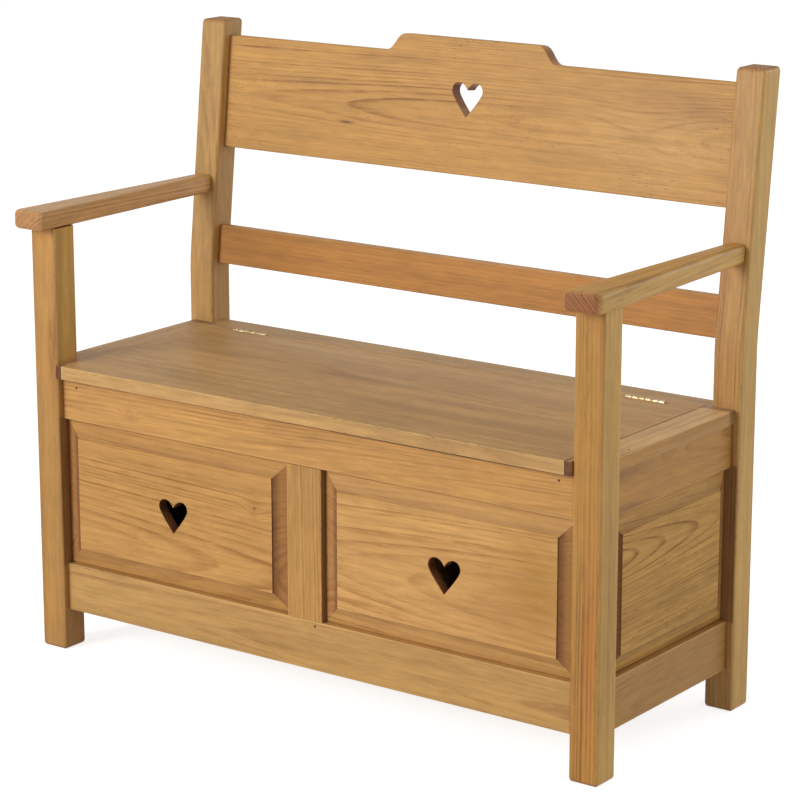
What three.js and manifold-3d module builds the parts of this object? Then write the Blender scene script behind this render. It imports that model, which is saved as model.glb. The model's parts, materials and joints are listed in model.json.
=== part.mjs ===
// Settle bench in pine: a low panelled chest with a lift-up seat, two arms and an open, leaning back.
// Millimetres, +Z up. The front faces -Y, and the origin is on the floor under the middle of the bench.
import * as THREE from "three";
import { ConvexGeometry } from "three/addons/geometries/ConvexGeometry.js";
import { mergeVertices } from "three/addons/utils/BufferGeometryUtils.js";
import Module from "manifold-3d";

const wasm = await Module();
wasm.setup();

// Overall sizes
const BENCH_WIDTH = 982; // over the posts
const BENCH_DEPTH = 398; // over the posts, below the seat
const SEAT_HEIGHT = 438;
const REAR_POST_HEIGHT = 902;
const ARM_HEIGHT = 667; // top of the arms

// Posts
const POST = 45; // side of the square section
const POST_EASE = 3; // rounding of the long edges
const FOOT_EASE = 5; // rounding under the feet and on the tops
const BEND_HEIGHT = 530; // where the rear posts start to lean
const BEND_BLEND = 24; // half the length of the curve in the bend
const BACK_LEAN = 40.7; // how far the top of a rear post is set back

// Rails, muntin and their joints
const RAIL_THICK = 22;
const RAIL_EASE = 1.2;
const FRONT_SET = 10; // front rails behind the face of the posts
const SIDE_SET = 11.5; // side rails inside the outer face of the posts
const REAR_SET = 13; // rear rails inside the back face of the posts
const BOTTOM_RAIL_LOW = 62;
const BOTTOM_RAIL_HEIGHT = 72;
const TOP_RAIL_HEIGHT = 62;
const MUNTIN_WIDTH = 60;
const TENON_THICK = 8;
const TENON_LENGTH = 16;
const TENON_SHOULDER = 8; // what a tenon loses at each edge of its rail
const MUNTIN_TENON_LENGTH = 12;
const MUNTIN_TENON_SHOULDER = 10;

// Raised and fielded panels
const TONGUE_THICK = 6;
const TONGUE_LENGTH = 8; // how far a panel reaches into its grooves
const FIELD_MARGIN = 27; // width of the sloping border round the field
const FIELD_STEP = 2; // upright step at the edge of the field
const BORDER_FALL = 8.5; // fall of the sloping border

// Pierced hearts
const HEART_WIDTH = 52.6;
const HEART_HEIGHT = 49.6;
const PANEL_HEART_LIFT = 82; // tip of the heart above the bottom rail
const CREST_HEART_LIFT = 84; // tip of the heart above the lower edge of the crest rail

// Back rails, measured along the lean
const BACK_RAIL_THICK = 20;
const BACK_RAIL_SET = 15; // behind the front face of the posts
const BACK_RAIL_EASE = 2.5;
const LOWER_BACK_RAIL_LIFT = 1.6; // above the bend
const LOWER_BACK_RAIL_HEIGHT = 59.4;
const BACK_OPENING = 120.7; // between the lower back rail and the crest rail
const CREST_HEIGHT = 171; // at the shoulders
const CREST_RISE = 26.2; // raised middle above the shoulders
const CREST_FLAT = 232; // length of the raised middle
const CREST_SWEEP = 36; // length of each curved shoulder

// Seat boards
const SEAT_BOARD = 19.7;
const SEAT_EASE = 1.6;
const LID_OVERHANG = 4; // lid in front of the posts
const LID_END_GAP = 1;
const STRIP_TONGUE = 9.5; // the part of a seat strip that runs past the inside of its front post
const STRIP_SET = 8; // outer edge of a seat strip inside the outer face of the posts
const REAR_BOARD_WIDTH = 53;

// Battens under the lid
const BATTEN_WIDTH = 45;
const BATTEN_THICK = 15;
const BATTEN_INSET = 135; // middle of a batten from the end of the lid
const BATTEN_FRONT_CLEAR = 14; // behind the front top rail
const BATTEN_REAR_CLEAR = 14; // in front of the hinged edge

// Chest floor and the cleats under it
const CLEAT = 18; // height of the cleats, and width of the side ones
const CLEAT_PAST_POST = 5.3; // how far the cross cleats reach past the posts
const CLEAT_LIFT = 4; // above the lower edge of the bottom rails
const FLOOR_THICK = 9;
const FLOOR_CLEAR = 0.5;

// Arms
const ARM_THICK = 28;
const ARM_EASE = 7;
const ARM_CORNER = 12; // corner radius in plan
const ARM_OVERHANG = 28; // in front of the posts
const ARM_FRONT_OUT = 9; // beyond the outer face of the front post
const ARM_FRONT_IN = 3; // beyond the inner face of the front post
const ARM_REAR_OUTER_SET = 7.5; // inside the outer face of the rear post
const ARM_REAR_INNER_SET = 9.5; // outside the inner face of the rear post
const ARM_POST_TENON = 25; // side of the square tenon on the front post
const ARM_POST_TENON_HEIGHT = 16;
const ARM_REAR_TENON_WIDTH = 14;
const ARM_REAR_TENON_HEIGHT = 15;

// Butt hinges
const HINGE_LENGTH = 64;
const HINGE_KNUCKLES = 6;
const HINGE_INSET = 82.5; // middle of a hinge from the end of the lid
const HINGE_JOINT = 2; // joint between the lid and the rear board
const KNUCKLE_RADIUS = 3;
const PIN_RADIUS = 1.25;
const PIN_FIT = 0.1;
const LEAF_THICK = 1.5;
const LEAF_SHORT = 2.7; // lower edge of a leaf above the underside of the seat boards
const LEAF_SINK = 0.3; // a leaf's face below the edge that it is let into

// Screws and brads
const SCREWS_A_LEAF = 3;
const SCREW_PITCH = 22;
const SCREW_LENGTH = 12;
const SCREW_RADIUS = 1.2;
const SCREW_HEAD_RADIUS = 2.6;
const SCREW_HEAD_DEPTH = 1.2;
const SCREW_POINT = 3;
const BRAD_RADIUS = 0.9;
const BRAD_HEAD_RADIUS = 1.6;
const BRAD_HEAD_DEPTH = 0.8;
const BRAD_POINT = 1.5;
const RAIL_BRAD_LENGTH = 19;
const RAIL_BRAD_INSET = 27; // from the post
const RAIL_BRAD_DROP = 12.5; // below the rail's top edge
const MUNTIN_BRAD_INSET = 12; // from the muntin's edge
const MUNTIN_BRAD_DROP = 7;
const STRIP_BRAD_LENGTH = 34;
const STRIP_BRAD_INSET = 9; // from the strip's outer edge
const STRIP_BRAD_BACK = 46; // behind the front post

// Clearances and modelling values
const SEAM = 0.3; // between faces that meet
const FIT = 0.3; // round a tenon, tongue, leaf or screw
const ROOT = 5; // how far a tenon or tongue starts inside its own piece
const OVERRUN = 10; // how far a cut runs past what it cuts
const WELD = 0.0001;
const ROUND_STEPS = 2;
const CURVE_STEPS = 8;
const CORNER_STEPS = 4;
const PIN_SIDES = 16;
const SCREW_SIDES = 12;

// Colours and finishes
const PINE_FACE = { color: 0xc8965a, roughness: 0.5, metalness: 0 };
const PINE_SEAT = { color: 0xaf8c64, roughness: 0.45, metalness: 0 };
const PINE_SIDE = { color: 0xb08c5a, roughness: 0.5, metalness: 0 };
const PINE_RAW = { color: 0xc9a878, roughness: 0.8, metalness: 0 };
const BRASS = { color: 0xe3c684, roughness: 0.3, metalness: 1 };
const STEEL = { color: 0x6d655c, roughness: 0.5, metalness: 1 };

// Places worked out from the sizes above
const halfWidth = BENCH_WIDTH / 2;
const postInner = halfWidth - POST;
const rearFace = BENCH_DEPTH - POST; // front face of the rear posts
const leanAngle = Math.atan2(BACK_LEAN, REAR_POST_HEIGHT - BEND_HEIGHT);
const armLow = ARM_HEIGHT - ARM_THICK;
const seatLow = SEAT_HEIGHT - SEAT_BOARD;
const topRailHigh = seatLow - SEAM;
const topRailLow = topRailHigh - TOP_RAIL_HEIGHT;
const bottomRailHigh = BOTTOM_RAIL_LOW + BOTTOM_RAIL_HEIGHT;
const sideRailOuter = halfWidth - SIDE_SET;
const sideRailInner = sideRailOuter - RAIL_THICK;
const frontRailBack = FRONT_SET + RAIL_THICK;
const rearRailBack = BENCH_DEPTH - REAR_SET;
const rearRailFront = rearRailBack - RAIL_THICK;
const stripInner = postInner - STRIP_TONGUE;
const stripOuter = halfWidth - STRIP_SET;
const lidHalf = stripInner - LID_END_GAP;
const rearBoardFront = rearRailBack - REAR_BOARD_WIDTH;
const hingeY = rearBoardFront - HINGE_JOINT / 2;
const hingeX = lidHalf - HINGE_INSET;
const panelThick = FIELD_STEP + BORDER_FALL + TONGUE_THICK;
const knuckleLength = HINGE_LENGTH / HINGE_KNUCKLES;
const leafInner = HINGE_JOINT / 2 + LEAF_SINK;
const leafOuter = leafInner + LEAF_THICK;
const leafHeight = SEAT_BOARD - LEAF_SHORT; // below the pin's axis
const screwDrop = SEAT_BOARD / 2;
const firstScrew = (-(SCREWS_A_LEAF - 1) / 2) * SCREW_PITCH;
const screwShifts = Array.from({ length: SCREWS_A_LEAF }, (_, i) => firstScrew + i * SCREW_PITCH);
const sides = [
  { side: "left", sign: -1 },
  { side: "right", sign: 1 },
];

const AXIS = {
  x: new THREE.Vector3(1, 0, 0),
  y: new THREE.Vector3(0, 1, 0),
  z: new THREE.Vector3(0, 0, 1),
};

// The frame of the leaning back: its XZ plane is the front face of the rear posts above the bend
const backFrame = new THREE.Group();
backFrame.position.set(0, rearFace, BEND_HEIGHT);
backFrame.rotation.x = -leanAngle;
backFrame.updateMatrix();

// A closed solid from a closed geometry, moved by a matrix where one is given
function solid(geometry, matrix) {
  const loose = geometry.index ? geometry.toNonIndexed() : geometry.clone();
  loose.deleteAttribute("normal");
  loose.deleteAttribute("uv");
  if (matrix) loose.applyMatrix4(matrix);
  const merged = mergeVertices(loose, WELD);
  const mesh = new wasm.Mesh({
    numProp: 3,
    vertProperties: merged.attributes.position.array,
    triVerts: new Uint32Array(merged.index.array),
  });
  return new wasm.Manifold(mesh);
}

// One named piece of the bench
function piece(name, shape, finish) {
  const mesh = shape.getMesh();
  const geometry = new THREE.BufferGeometry();
  geometry.setAttribute("position", new THREE.BufferAttribute(mesh.vertProperties, 3));
  geometry.setIndex(new THREE.BufferAttribute(mesh.triVerts, 1));
  geometry.computeVertexNormals();
  const named = new THREE.Mesh(geometry, new THREE.MeshStandardMaterial(finish));
  named.name = name;
  return named;
}

function span(x0, x1, y0, y1, z0, z1) {
  return new THREE.Box3(new THREE.Vector3(x0, y0, z0), new THREE.Vector3(x1, y1, z1));
}

function mirrored(box) {
  return span(-box.max.x, -box.min.x, box.min.y, box.max.y, box.min.z, box.max.z);
}

function grown(box, by) {
  return box.clone().expandByScalar(by);
}

// A square-edged block
function block(box, matrix) {
  const size = box.getSize(new THREE.Vector3());
  const middle = box.getCenter(new THREE.Vector3());
  const geometry = new THREE.BoxGeometry(size.x, size.y, size.z);
  geometry.translate(middle.x, middle.y, middle.z);
  return solid(geometry, matrix);
}

// The pocket that takes a tenon or a tongue
function pocket(box, matrix) {
  return block(grown(box, FIT), matrix);
}

function roundedRectangle(u0, u1, v0, v1, radius) {
  const quarter = Math.PI / 2;
  const shape = new THREE.Shape();
  shape.absarc(u1 - radius, v0 + radius, radius, -quarter, 0);
  shape.absarc(u1 - radius, v1 - radius, radius, 0, quarter);
  shape.absarc(u0 + radius, v1 - radius, radius, quarter, 2 * quarter);
  shape.absarc(u0 + radius, v0 + radius, radius, 2 * quarter, 3 * quarter);
  return shape;
}

// A board or rail whose long edges are eased, with its grain along one axis
function plank(box, grain, ease) {
  const sectionOf = { x: ["y", "z"], y: ["z", "x"], z: ["x", "y"] };
  const [u, v] = sectionOf[grain];
  const outline = roundedRectangle(box.min[u], box.max[u], box.min[v], box.max[v], ease);
  const geometry = new THREE.ExtrudeGeometry(outline, {
    depth: box.max[grain] - box.min[grain],
    bevelEnabled: false,
    curveSegments: ROUND_STEPS,
  });
  geometry.translate(0, 0, box.min[grain]);
  const basis = new THREE.Matrix4().makeBasis(AXIS[u], AXIS[v], AXIS[grain]);
  return solid(geometry, basis);
}

// A slab of an outline, rounded all round both faces
function roundedSlab(outline, thick, ease, steps, matrix) {
  const geometry = new THREE.ExtrudeGeometry(outline, {
    depth: thick - 2 * ease,
    bevelThickness: ease,
    bevelSize: ease,
    bevelOffset: -ease,
    bevelSegments: ROUND_STEPS,
    curveSegments: steps,
  });
  geometry.translate(0, 0, ease);
  return solid(geometry, matrix);
}

// A round bar along X
function roundBar(radius, x0, x1, matrix) {
  const geometry = new THREE.CylinderGeometry(radius, radius, x1 - x0, PIN_SIDES);
  geometry.rotateZ(-Math.PI / 2);
  geometry.translate((x0 + x1) / 2, 0, 0);
  return solid(geometry, matrix);
}

// A turned piece from pairs of radius and height along Y
function turned(profile, matrix) {
  const points = profile.map(([radius, height]) => new THREE.Vector2(radius, height));
  return solid(new THREE.LatheGeometry(points, SCREW_SIDES), matrix);
}

// A brad driven down from its head at the origin, or the hole for it where it is grown
function brad(length, grow, matrix) {
  const tip = length + grow;
  const profile = [
    [0, -tip],
    [BRAD_RADIUS + grow, BRAD_POINT - tip],
    [BRAD_RADIUS + grow, -BRAD_HEAD_DEPTH - grow],
    [BRAD_HEAD_RADIUS + grow, -BRAD_HEAD_DEPTH - grow],
    [BRAD_HEAD_RADIUS + grow, grow],
    [0, grow],
  ];
  return turned(profile, matrix);
}

// Where a brad stands: driven back into a front face, or down into a top face
function drivenBack(x, y, z) {
  return new THREE.Matrix4().makeRotationX(Math.PI).setPosition(x, y, z);
}

function drivenDown(x, y, z) {
  return new THREE.Matrix4().makeRotationX(Math.PI / 2).setPosition(x, y, z);
}

// A matrix that turns a front-view outline in X and Z, with its thickness running back along +Y
function standing(backY) {
  const basis = new THREE.Matrix4().makeBasis(AXIS.x, AXIS.z, AXIS.y.clone().negate());
  return basis.setPosition(0, backY, 0);
}

// Tenons, as boxes on the right-hand side of the bench
function crossTenon(faceY, thick, low, high) {
  const middle = faceY + thick / 2;
  return span(
    postInner - ROOT,
    postInner + TENON_LENGTH,
    middle - TENON_THICK / 2,
    middle + TENON_THICK / 2,
    low + TENON_SHOULDER,
    high - TENON_SHOULDER,
  );
}

function sideTenons(low, high) {
  const middle = (sideRailInner + sideRailOuter) / 2;
  const x0 = middle - TENON_THICK / 2;
  const x1 = middle + TENON_THICK / 2;
  const z0 = low + TENON_SHOULDER;
  const z1 = high - TENON_SHOULDER;
  const front = span(x0, x1, POST - TENON_LENGTH, POST + ROOT, z0, z1);
  const rear = span(x0, x1, rearFace - ROOT, rearFace + TENON_LENGTH, z0, z1);
  return [front, rear];
}

const railHeights = [
  [BOTTOM_RAIL_LOW, bottomRailHigh],
  [topRailLow, topRailHigh],
];
const frontTenons = railHeights.map(([low, high]) => crossTenon(FRONT_SET, RAIL_THICK, low, high));
const rearTenons = railHeights.map(([low, high]) => crossTenon(rearRailFront, RAIL_THICK, low, high));

// Back rails, as heights along the lean
const lowerBackLow = LOWER_BACK_RAIL_LIFT;
const lowerBackHigh = lowerBackLow + LOWER_BACK_RAIL_HEIGHT;
const crestLow = lowerBackHigh + BACK_OPENING;
const crestShoulder = crestLow + CREST_HEIGHT;
const lowerBackTenon = crossTenon(BACK_RAIL_SET, BACK_RAIL_THICK, lowerBackLow, lowerBackHigh);
const crestTenon = crossTenon(BACK_RAIL_SET, BACK_RAIL_THICK, crestLow, crestShoulder);

// Panel openings, and the tongues that reach into the grooves round them
const frontOpening = span(
  MUNTIN_WIDTH / 2,
  postInner,
  FRONT_SET,
  FRONT_SET + panelThick,
  bottomRailHigh,
  topRailLow,
);
const sideOpening = span(
  sideRailOuter - panelThick,
  sideRailOuter,
  POST,
  rearFace,
  bottomRailHigh,
  topRailLow,
);
const frontTongue = span(
  frontOpening.min.x - TONGUE_LENGTH,
  frontOpening.max.x + TONGUE_LENGTH,
  frontOpening.max.y - TONGUE_THICK,
  frontOpening.max.y,
  bottomRailHigh - TONGUE_LENGTH,
  topRailLow + TONGUE_LENGTH,
);
const sideTongue = span(
  sideOpening.min.x,
  sideOpening.min.x + TONGUE_THICK,
  sideOpening.min.y - TONGUE_LENGTH,
  sideOpening.max.y + TONGUE_LENGTH,
  bottomRailHigh - TONGUE_LENGTH,
  topRailLow + TONGUE_LENGTH,
);
const rearRailMiddle = (rearRailFront + rearRailBack) / 2;
const rearPanelBox = span(
  -postInner - TONGUE_LENGTH,
  postInner + TONGUE_LENGTH,
  rearRailMiddle - TONGUE_THICK / 2,
  rearRailMiddle + TONGUE_THICK / 2,
  bottomRailHigh - TONGUE_LENGTH,
  topRailLow + TONGUE_LENGTH,
);

// The side profile of a post, in Y and Z
function postProfile(y0, y1, height, lean) {
  const ease = FOOT_EASE;
  const slope = lean / (height - BEND_HEIGHT);
  const shape = new THREE.Shape();
  shape.moveTo(y0 + ease, 0);
  shape.lineTo(y1 - ease, 0);
  shape.quadraticCurveTo(y1, 0, y1, ease);
  if (lean > 0) {
    shape.lineTo(y1, BEND_HEIGHT - BEND_BLEND);
    shape.quadraticCurveTo(y1, BEND_HEIGHT, y1 + slope * BEND_BLEND, BEND_HEIGHT + BEND_BLEND);
  }
  shape.lineTo(y1 + lean - slope * ease, height - ease);
  shape.quadraticCurveTo(y1 + lean, height, y1 + lean - ease, height);
  shape.lineTo(y0 + lean + ease, height);
  shape.quadraticCurveTo(y0 + lean, height, y0 + lean - slope * ease, height - ease);
  if (lean > 0) {
    shape.lineTo(y0 + slope * BEND_BLEND, BEND_HEIGHT + BEND_BLEND);
    shape.quadraticCurveTo(y0, BEND_HEIGHT, y0, BEND_HEIGHT - BEND_BLEND);
  }
  shape.lineTo(y0, ease);
  shape.quadraticCurveTo(y0, 0, y0 + ease, 0);
  return shape;
}

function postBlank(y0, y1, height, lean) {
  const across = new THREE.Matrix4().makeBasis(AXIS.y, AXIS.z, AXIS.x);
  across.setPosition(postInner, 0, 0);
  return roundedSlab(postProfile(y0, y1, height, lean), POST, POST_EASE, CORNER_STEPS, across);
}

const postMiddleX = postInner + POST / 2;
const armPostTenon = span(
  postMiddleX - ARM_POST_TENON / 2,
  postMiddleX + ARM_POST_TENON / 2,
  (POST - ARM_POST_TENON) / 2,
  (POST + ARM_POST_TENON) / 2,
  armLow - ROOT,
  armLow + ARM_POST_TENON_HEIGHT,
);

// The face of the leaning rear post, at the middle height of the arm
const armMiddleZ = armLow + ARM_THICK / 2;
const armShoulderY = rearFace + (armMiddleZ - BEND_HEIGHT) * Math.tan(leanAngle);
const armRearX = (postInner + ARM_REAR_INNER_SET + halfWidth - ARM_REAR_OUTER_SET) / 2;
const armRearTenon = span(
  armRearX - ARM_REAR_TENON_WIDTH / 2,
  armRearX + ARM_REAR_TENON_WIDTH / 2,
  armShoulderY - 2 * ROOT,
  armShoulderY + TENON_LENGTH,
  armMiddleZ - ARM_REAR_TENON_HEIGHT / 2,
  armMiddleZ + ARM_REAR_TENON_HEIGHT / 2,
);

function frontPost() {
  const overTop = span(
    postInner - OVERRUN,
    halfWidth + OVERRUN,
    -OVERRUN,
    POST + OVERRUN,
    armLow - SEAM,
    armLow + POST,
  );
  let post = postBlank(0, POST, armLow + FOOT_EASE, 0).subtract(block(overTop));
  post = post.add(block(armPostTenon));
  frontTenons.forEach((tenon) => {
    post = post.subtract(pocket(tenon));
  });
  railHeights.forEach(([low, high]) => {
    post = post.subtract(pocket(sideTenons(low, high)[0]));
  });
  return post.subtract(pocket(frontTongue)).subtract(pocket(sideTongue));
}

function rearPost() {
  let post = postBlank(rearFace, BENCH_DEPTH, REAR_POST_HEIGHT, BACK_LEAN);
  rearTenons.forEach((tenon) => {
    post = post.subtract(pocket(tenon));
  });
  railHeights.forEach(([low, high]) => {
    post = post.subtract(pocket(sideTenons(low, high)[1]));
  });
  post = post.subtract(pocket(sideTongue)).subtract(pocket(rearPanelBox));
  post = post.subtract(pocket(armRearTenon));
  post = post.subtract(pocket(lowerBackTenon, backFrame.matrix));
  return post.subtract(pocket(crestTenon, backFrame.matrix));
}

// An arm tapers in plan from its front end to the rear post
function armOutline() {
  const frontOuter = halfWidth + ARM_FRONT_OUT;
  const frontInner = postInner - ARM_FRONT_IN;
  const rearOuter = halfWidth - ARM_REAR_OUTER_SET;
  const rearInner = postInner + ARM_REAR_INNER_SET;
  const run = armShoulderY + ARM_OVERHANG;
  const outerSlope = (rearOuter - frontOuter) / run;
  const innerSlope = (rearInner - frontInner) / run;
  const past = armShoulderY + OVERRUN;
  const cornerY = -ARM_OVERHANG + ARM_CORNER;
  const shape = new THREE.Shape();
  shape.moveTo(frontInner + ARM_CORNER, -ARM_OVERHANG);
  shape.lineTo(frontOuter - ARM_CORNER, -ARM_OVERHANG);
  shape.quadraticCurveTo(frontOuter, -ARM_OVERHANG, frontOuter + outerSlope * ARM_CORNER, cornerY);
  shape.lineTo(rearOuter + outerSlope * OVERRUN, past);
  shape.lineTo(rearInner + innerSlope * OVERRUN, past);
  shape.lineTo(frontInner + innerSlope * ARM_CORNER, cornerY);
  shape.quadraticCurveTo(frontInner, -ARM_OVERHANG, frontInner + ARM_CORNER, -ARM_OVERHANG);
  return shape;
}

function arm() {
  const lift = new THREE.Matrix4().setPosition(0, 0, armLow);
  const behindFace = span(0, BENCH_WIDTH, -SEAM, BENCH_DEPTH, 0, REAR_POST_HEIGHT);
  const board = roundedSlab(armOutline(), ARM_THICK, ARM_EASE, CORNER_STEPS, lift);
  const shouldered = board.subtract(block(behindFace, backFrame.matrix));
  return shouldered.add(block(armRearTenon)).subtract(pocket(armPostTenon));
}

// A rail between the two posts of the front or the rear frame
function crossRail(faceY, low, high) {
  const body = span(-postInner + SEAM, postInner - SEAM, faceY, faceY + RAIL_THICK, low, high);
  const tenon = crossTenon(faceY, RAIL_THICK, low, high);
  return plank(body, "x", RAIL_EASE).add(block(tenon)).add(block(mirrored(tenon)));
}

function muntinTenon(atTop) {
  const middle = FRONT_SET + RAIL_THICK / 2;
  const half = MUNTIN_WIDTH / 2 - MUNTIN_TENON_SHOULDER;
  const z0 = atTop ? topRailLow - ROOT : bottomRailHigh - MUNTIN_TENON_LENGTH;
  const z1 = atTop ? topRailLow + MUNTIN_TENON_LENGTH : bottomRailHigh + ROOT;
  return span(-half, half, middle - TENON_THICK / 2, middle + TENON_THICK / 2, z0, z1);
}

function frontRail(low, high, atTop) {
  const rail = crossRail(FRONT_SET, low, high);
  const grooved = rail.subtract(pocket(frontTongue)).subtract(pocket(mirrored(frontTongue)));
  return grooved.subtract(pocket(muntinTenon(atTop)));
}

function muntin() {
  const half = MUNTIN_WIDTH / 2;
  const low = bottomRailHigh + SEAM;
  const high = topRailLow - SEAM;
  const body = plank(span(-half, half, FRONT_SET, frontRailBack, low, high), "z", RAIL_EASE);
  const tenoned = body.add(block(muntinTenon(false))).add(block(muntinTenon(true)));
  return tenoned.subtract(pocket(frontTongue)).subtract(pocket(mirrored(frontTongue)));
}

function rearRail(low, high) {
  return crossRail(rearRailFront, low, high).subtract(pocket(rearPanelBox));
}

function sideRail(low, high) {
  const y0 = POST + SEAM;
  const y1 = rearFace - SEAM;
  const body = plank(span(sideRailInner, sideRailOuter, y0, y1, low, high), "y", RAIL_EASE);
  const [front, rear] = sideTenons(low, high);
  return body.add(block(front)).add(block(rear)).subtract(pocket(sideTongue));
}

// The right half of a heart, as shares of its width and height, from the notch round to the tip
const HEART_NOTCH_SHARE = 0.22;
const HEART_CURVE_SHARES = [
  [0.05, 0.11, 0.15, 0, 0.285, 0],
  [0.415, 0, 0.5, 0.1, 0.5, 0.24],
  [0.5, 0.385, 0.17, 0.775, 0, 1],
];

// A heart with its tip at the origin
function heartShape() {
  const right = new THREE.Path();
  right.moveTo(0, HEART_HEIGHT * (1 - HEART_NOTCH_SHARE));
  HEART_CURVE_SHARES.forEach((curve) => {
    const places = curve.map((share, i) => (i % 2 ? HEART_HEIGHT * (1 - share) : HEART_WIDTH * share));
    right.bezierCurveTo(...places);
  });
  const rightPoints = right.getPoints(CURVE_STEPS);
  const leftPoints = rightPoints.slice(1, -1).map((p) => new THREE.Vector2(-p.x, p.y));
  return new THREE.Shape([...rightPoints, ...leftPoints.reverse()]);
}

// The cutter for a heart through a board whose front face lies at Y = 0
function heartCut(tipZ, thick) {
  const geometry = new THREE.ExtrudeGeometry(heartShape(), {
    depth: thick + 2 * OVERRUN,
    bevelEnabled: false,
  });
  geometry.translate(0, tipZ, 0);
  return solid(geometry, standing(thick + OVERRUN));
}

// A raised panel: its field faces -Y at Y = 0, and the opening's middle is at the origin
function raisedPanel(openWidth, openHeight) {
  const halfW = openWidth / 2;
  const halfH = openHeight / 2;
  const fieldW = halfW - FIELD_MARGIN;
  const fieldH = halfH - FIELD_MARGIN;
  const tongueFront = FIELD_STEP + BORDER_FALL;
  const tongueMiddle = tongueFront + TONGUE_THICK / 2;
  const reachW = halfW + TONGUE_LENGTH;
  const reachH = halfH + TONGUE_LENGTH;
  const rings = [
    [fieldW, fieldH, FIELD_STEP],
    [halfW, halfH, tongueFront],
    [halfW, halfH, tongueMiddle],
  ];
  const corners = [];
  rings.forEach(([w, h, y]) => {
    [-w, w].forEach((x) => [-h, h].forEach((z) => corners.push(new THREE.Vector3(x, y, z))));
  });
  const border = solid(new ConvexGeometry(corners));
  const field = block(span(-fieldW, fieldW, 0, tongueMiddle, -fieldH, fieldH));
  const back = block(span(-reachW, reachW, tongueFront, panelThick, -reachH, reachH));
  return border.add(field).add(back);
}

function frontPanel() {
  const size = frontOpening.getSize(new THREE.Vector3());
  const tipZ = PANEL_HEART_LIFT - size.z / 2;
  return raisedPanel(size.x, size.z).subtract(heartCut(tipZ, panelThick));
}

function sidePanel() {
  const size = sideOpening.getSize(new THREE.Vector3());
  return raisedPanel(size.y, size.z);
}

function lowerBackRail() {
  const body = span(
    -postInner + SEAM,
    postInner - SEAM,
    BACK_RAIL_SET,
    BACK_RAIL_SET + BACK_RAIL_THICK,
    lowerBackLow,
    lowerBackHigh,
  );
  const rail = plank(body, "x", BACK_RAIL_EASE);
  return rail.add(block(lowerBackTenon)).add(block(mirrored(lowerBackTenon)));
}

// The crest rail in front view: square ends, and a raised middle with swept shoulders
function crestOutline() {
  const end = postInner + OVERRUN;
  const top = crestShoulder + CREST_RISE;
  const inner = CREST_FLAT / 2;
  const outer = inner + CREST_SWEEP;
  const bend = (inner + outer) / 2;
  const shape = new THREE.Shape();
  shape.moveTo(-end, crestLow);
  shape.lineTo(end, crestLow);
  shape.lineTo(end, crestShoulder);
  shape.lineTo(outer, crestShoulder);
  shape.bezierCurveTo(bend, crestShoulder, bend, top, inner, top);
  shape.lineTo(-inner, top);
  shape.bezierCurveTo(-bend, top, -bend, crestShoulder, -outer, crestShoulder);
  shape.lineTo(-end, crestShoulder);
  return shape;
}

function crestRail() {
  const y1 = BACK_RAIL_SET + BACK_RAIL_THICK;
  const matrix = standing(y1);
  const slab = roundedSlab(crestOutline(), BACK_RAIL_THICK, BACK_RAIL_EASE, CURVE_STEPS, matrix);
  const between = span(
    -postInner + SEAM,
    postInner - SEAM,
    0,
    y1 + OVERRUN,
    crestLow - OVERRUN,
    crestShoulder + CREST_RISE + OVERRUN,
  );
  const rail = slab.intersect(block(between)).add(block(crestTenon)).add(block(mirrored(crestTenon)));
  return rail.subtract(heartCut(crestLow + CREST_HEART_LIFT, y1));
}

function seatStrip() {
  const board = span(
    stripInner,
    stripOuter,
    -LID_OVERHANG,
    rearFace - SEAM,
    seatLow,
    SEAT_HEIGHT,
  );
  const post = span(postInner, halfWidth + OVERRUN, -POST, POST, 0, ARM_HEIGHT);
  return plank(board, "y", SEAT_EASE).subtract(block(grown(post, SEAM)));
}

function seatRearBoard() {
  const half = postInner - SEAM;
  const body = span(-half, half, rearBoardFront, rearRailBack, seatLow, SEAT_HEIGHT);
  const corner = span(
    stripInner - SEAM,
    postInner + OVERRUN,
    rearBoardFront - OVERRUN,
    rearFace + SEAM,
    seatLow - OVERRUN,
    SEAT_HEIGHT + OVERRUN,
  );
  let board = plank(body, "x", SEAT_EASE).subtract(block(corner)).subtract(block(mirrored(corner)));
  sides.forEach(({ sign }) => {
    const place = new THREE.Matrix4().setPosition(sign * hingeX, hingeY, SEAT_HEIGHT);
    board = board.subtract(hingeBed(1, place));
  });
  return board;
}

// Hinges: in a hinge's own frame the pin lies along X through the origin, and edge -1 is the lid's
function leafBox(edge) {
  const y0 = edge < 0 ? -leafOuter : leafInner;
  const y1 = edge < 0 ? -leafInner : leafOuter;
  return span(-HINGE_LENGTH / 2, HINGE_LENGTH / 2, y0, y1, -leafHeight, 0);
}

// A countersunk screw of one leaf, or the hole for it where it is grown
function leafScrew(edge, shift, grow, place) {
  const tip = SCREW_LENGTH + grow;
  const profile = [
    [0, -tip],
    [SCREW_RADIUS + grow, SCREW_POINT - tip],
    [SCREW_RADIUS + grow, -SCREW_HEAD_DEPTH],
    [SCREW_HEAD_RADIUS + grow, 0],
  ];
  if (grow > 0) profile.push([SCREW_HEAD_RADIUS + grow, grow]);
  profile.push([0, grow]);
  const stand = new THREE.Matrix4().makeRotationX(edge < 0 ? 0 : Math.PI);
  stand.setPosition(shift, edge * leafInner, -screwDrop);
  return turned(profile, place ? stand.premultiply(place) : stand);
}

// The recess for a leaf and the barrel, with the pilot holes of the leaf's screws
function hingeBed(edge, place) {
  const leaf = grown(leafBox(edge), FIT);
  const half = HINGE_LENGTH / 2 + FIT;
  leaf.max.z += OVERRUN;
  if (edge < 0) leaf.max.y = 0;
  else leaf.min.y = 0;
  let bed = block(leaf, place).add(roundBar(KNUCKLE_RADIUS + FIT, -half, half, place));
  screwShifts.forEach((shift) => {
    bed = bed.add(leafScrew(edge, shift, FIT, place));
  });
  return bed;
}

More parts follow.
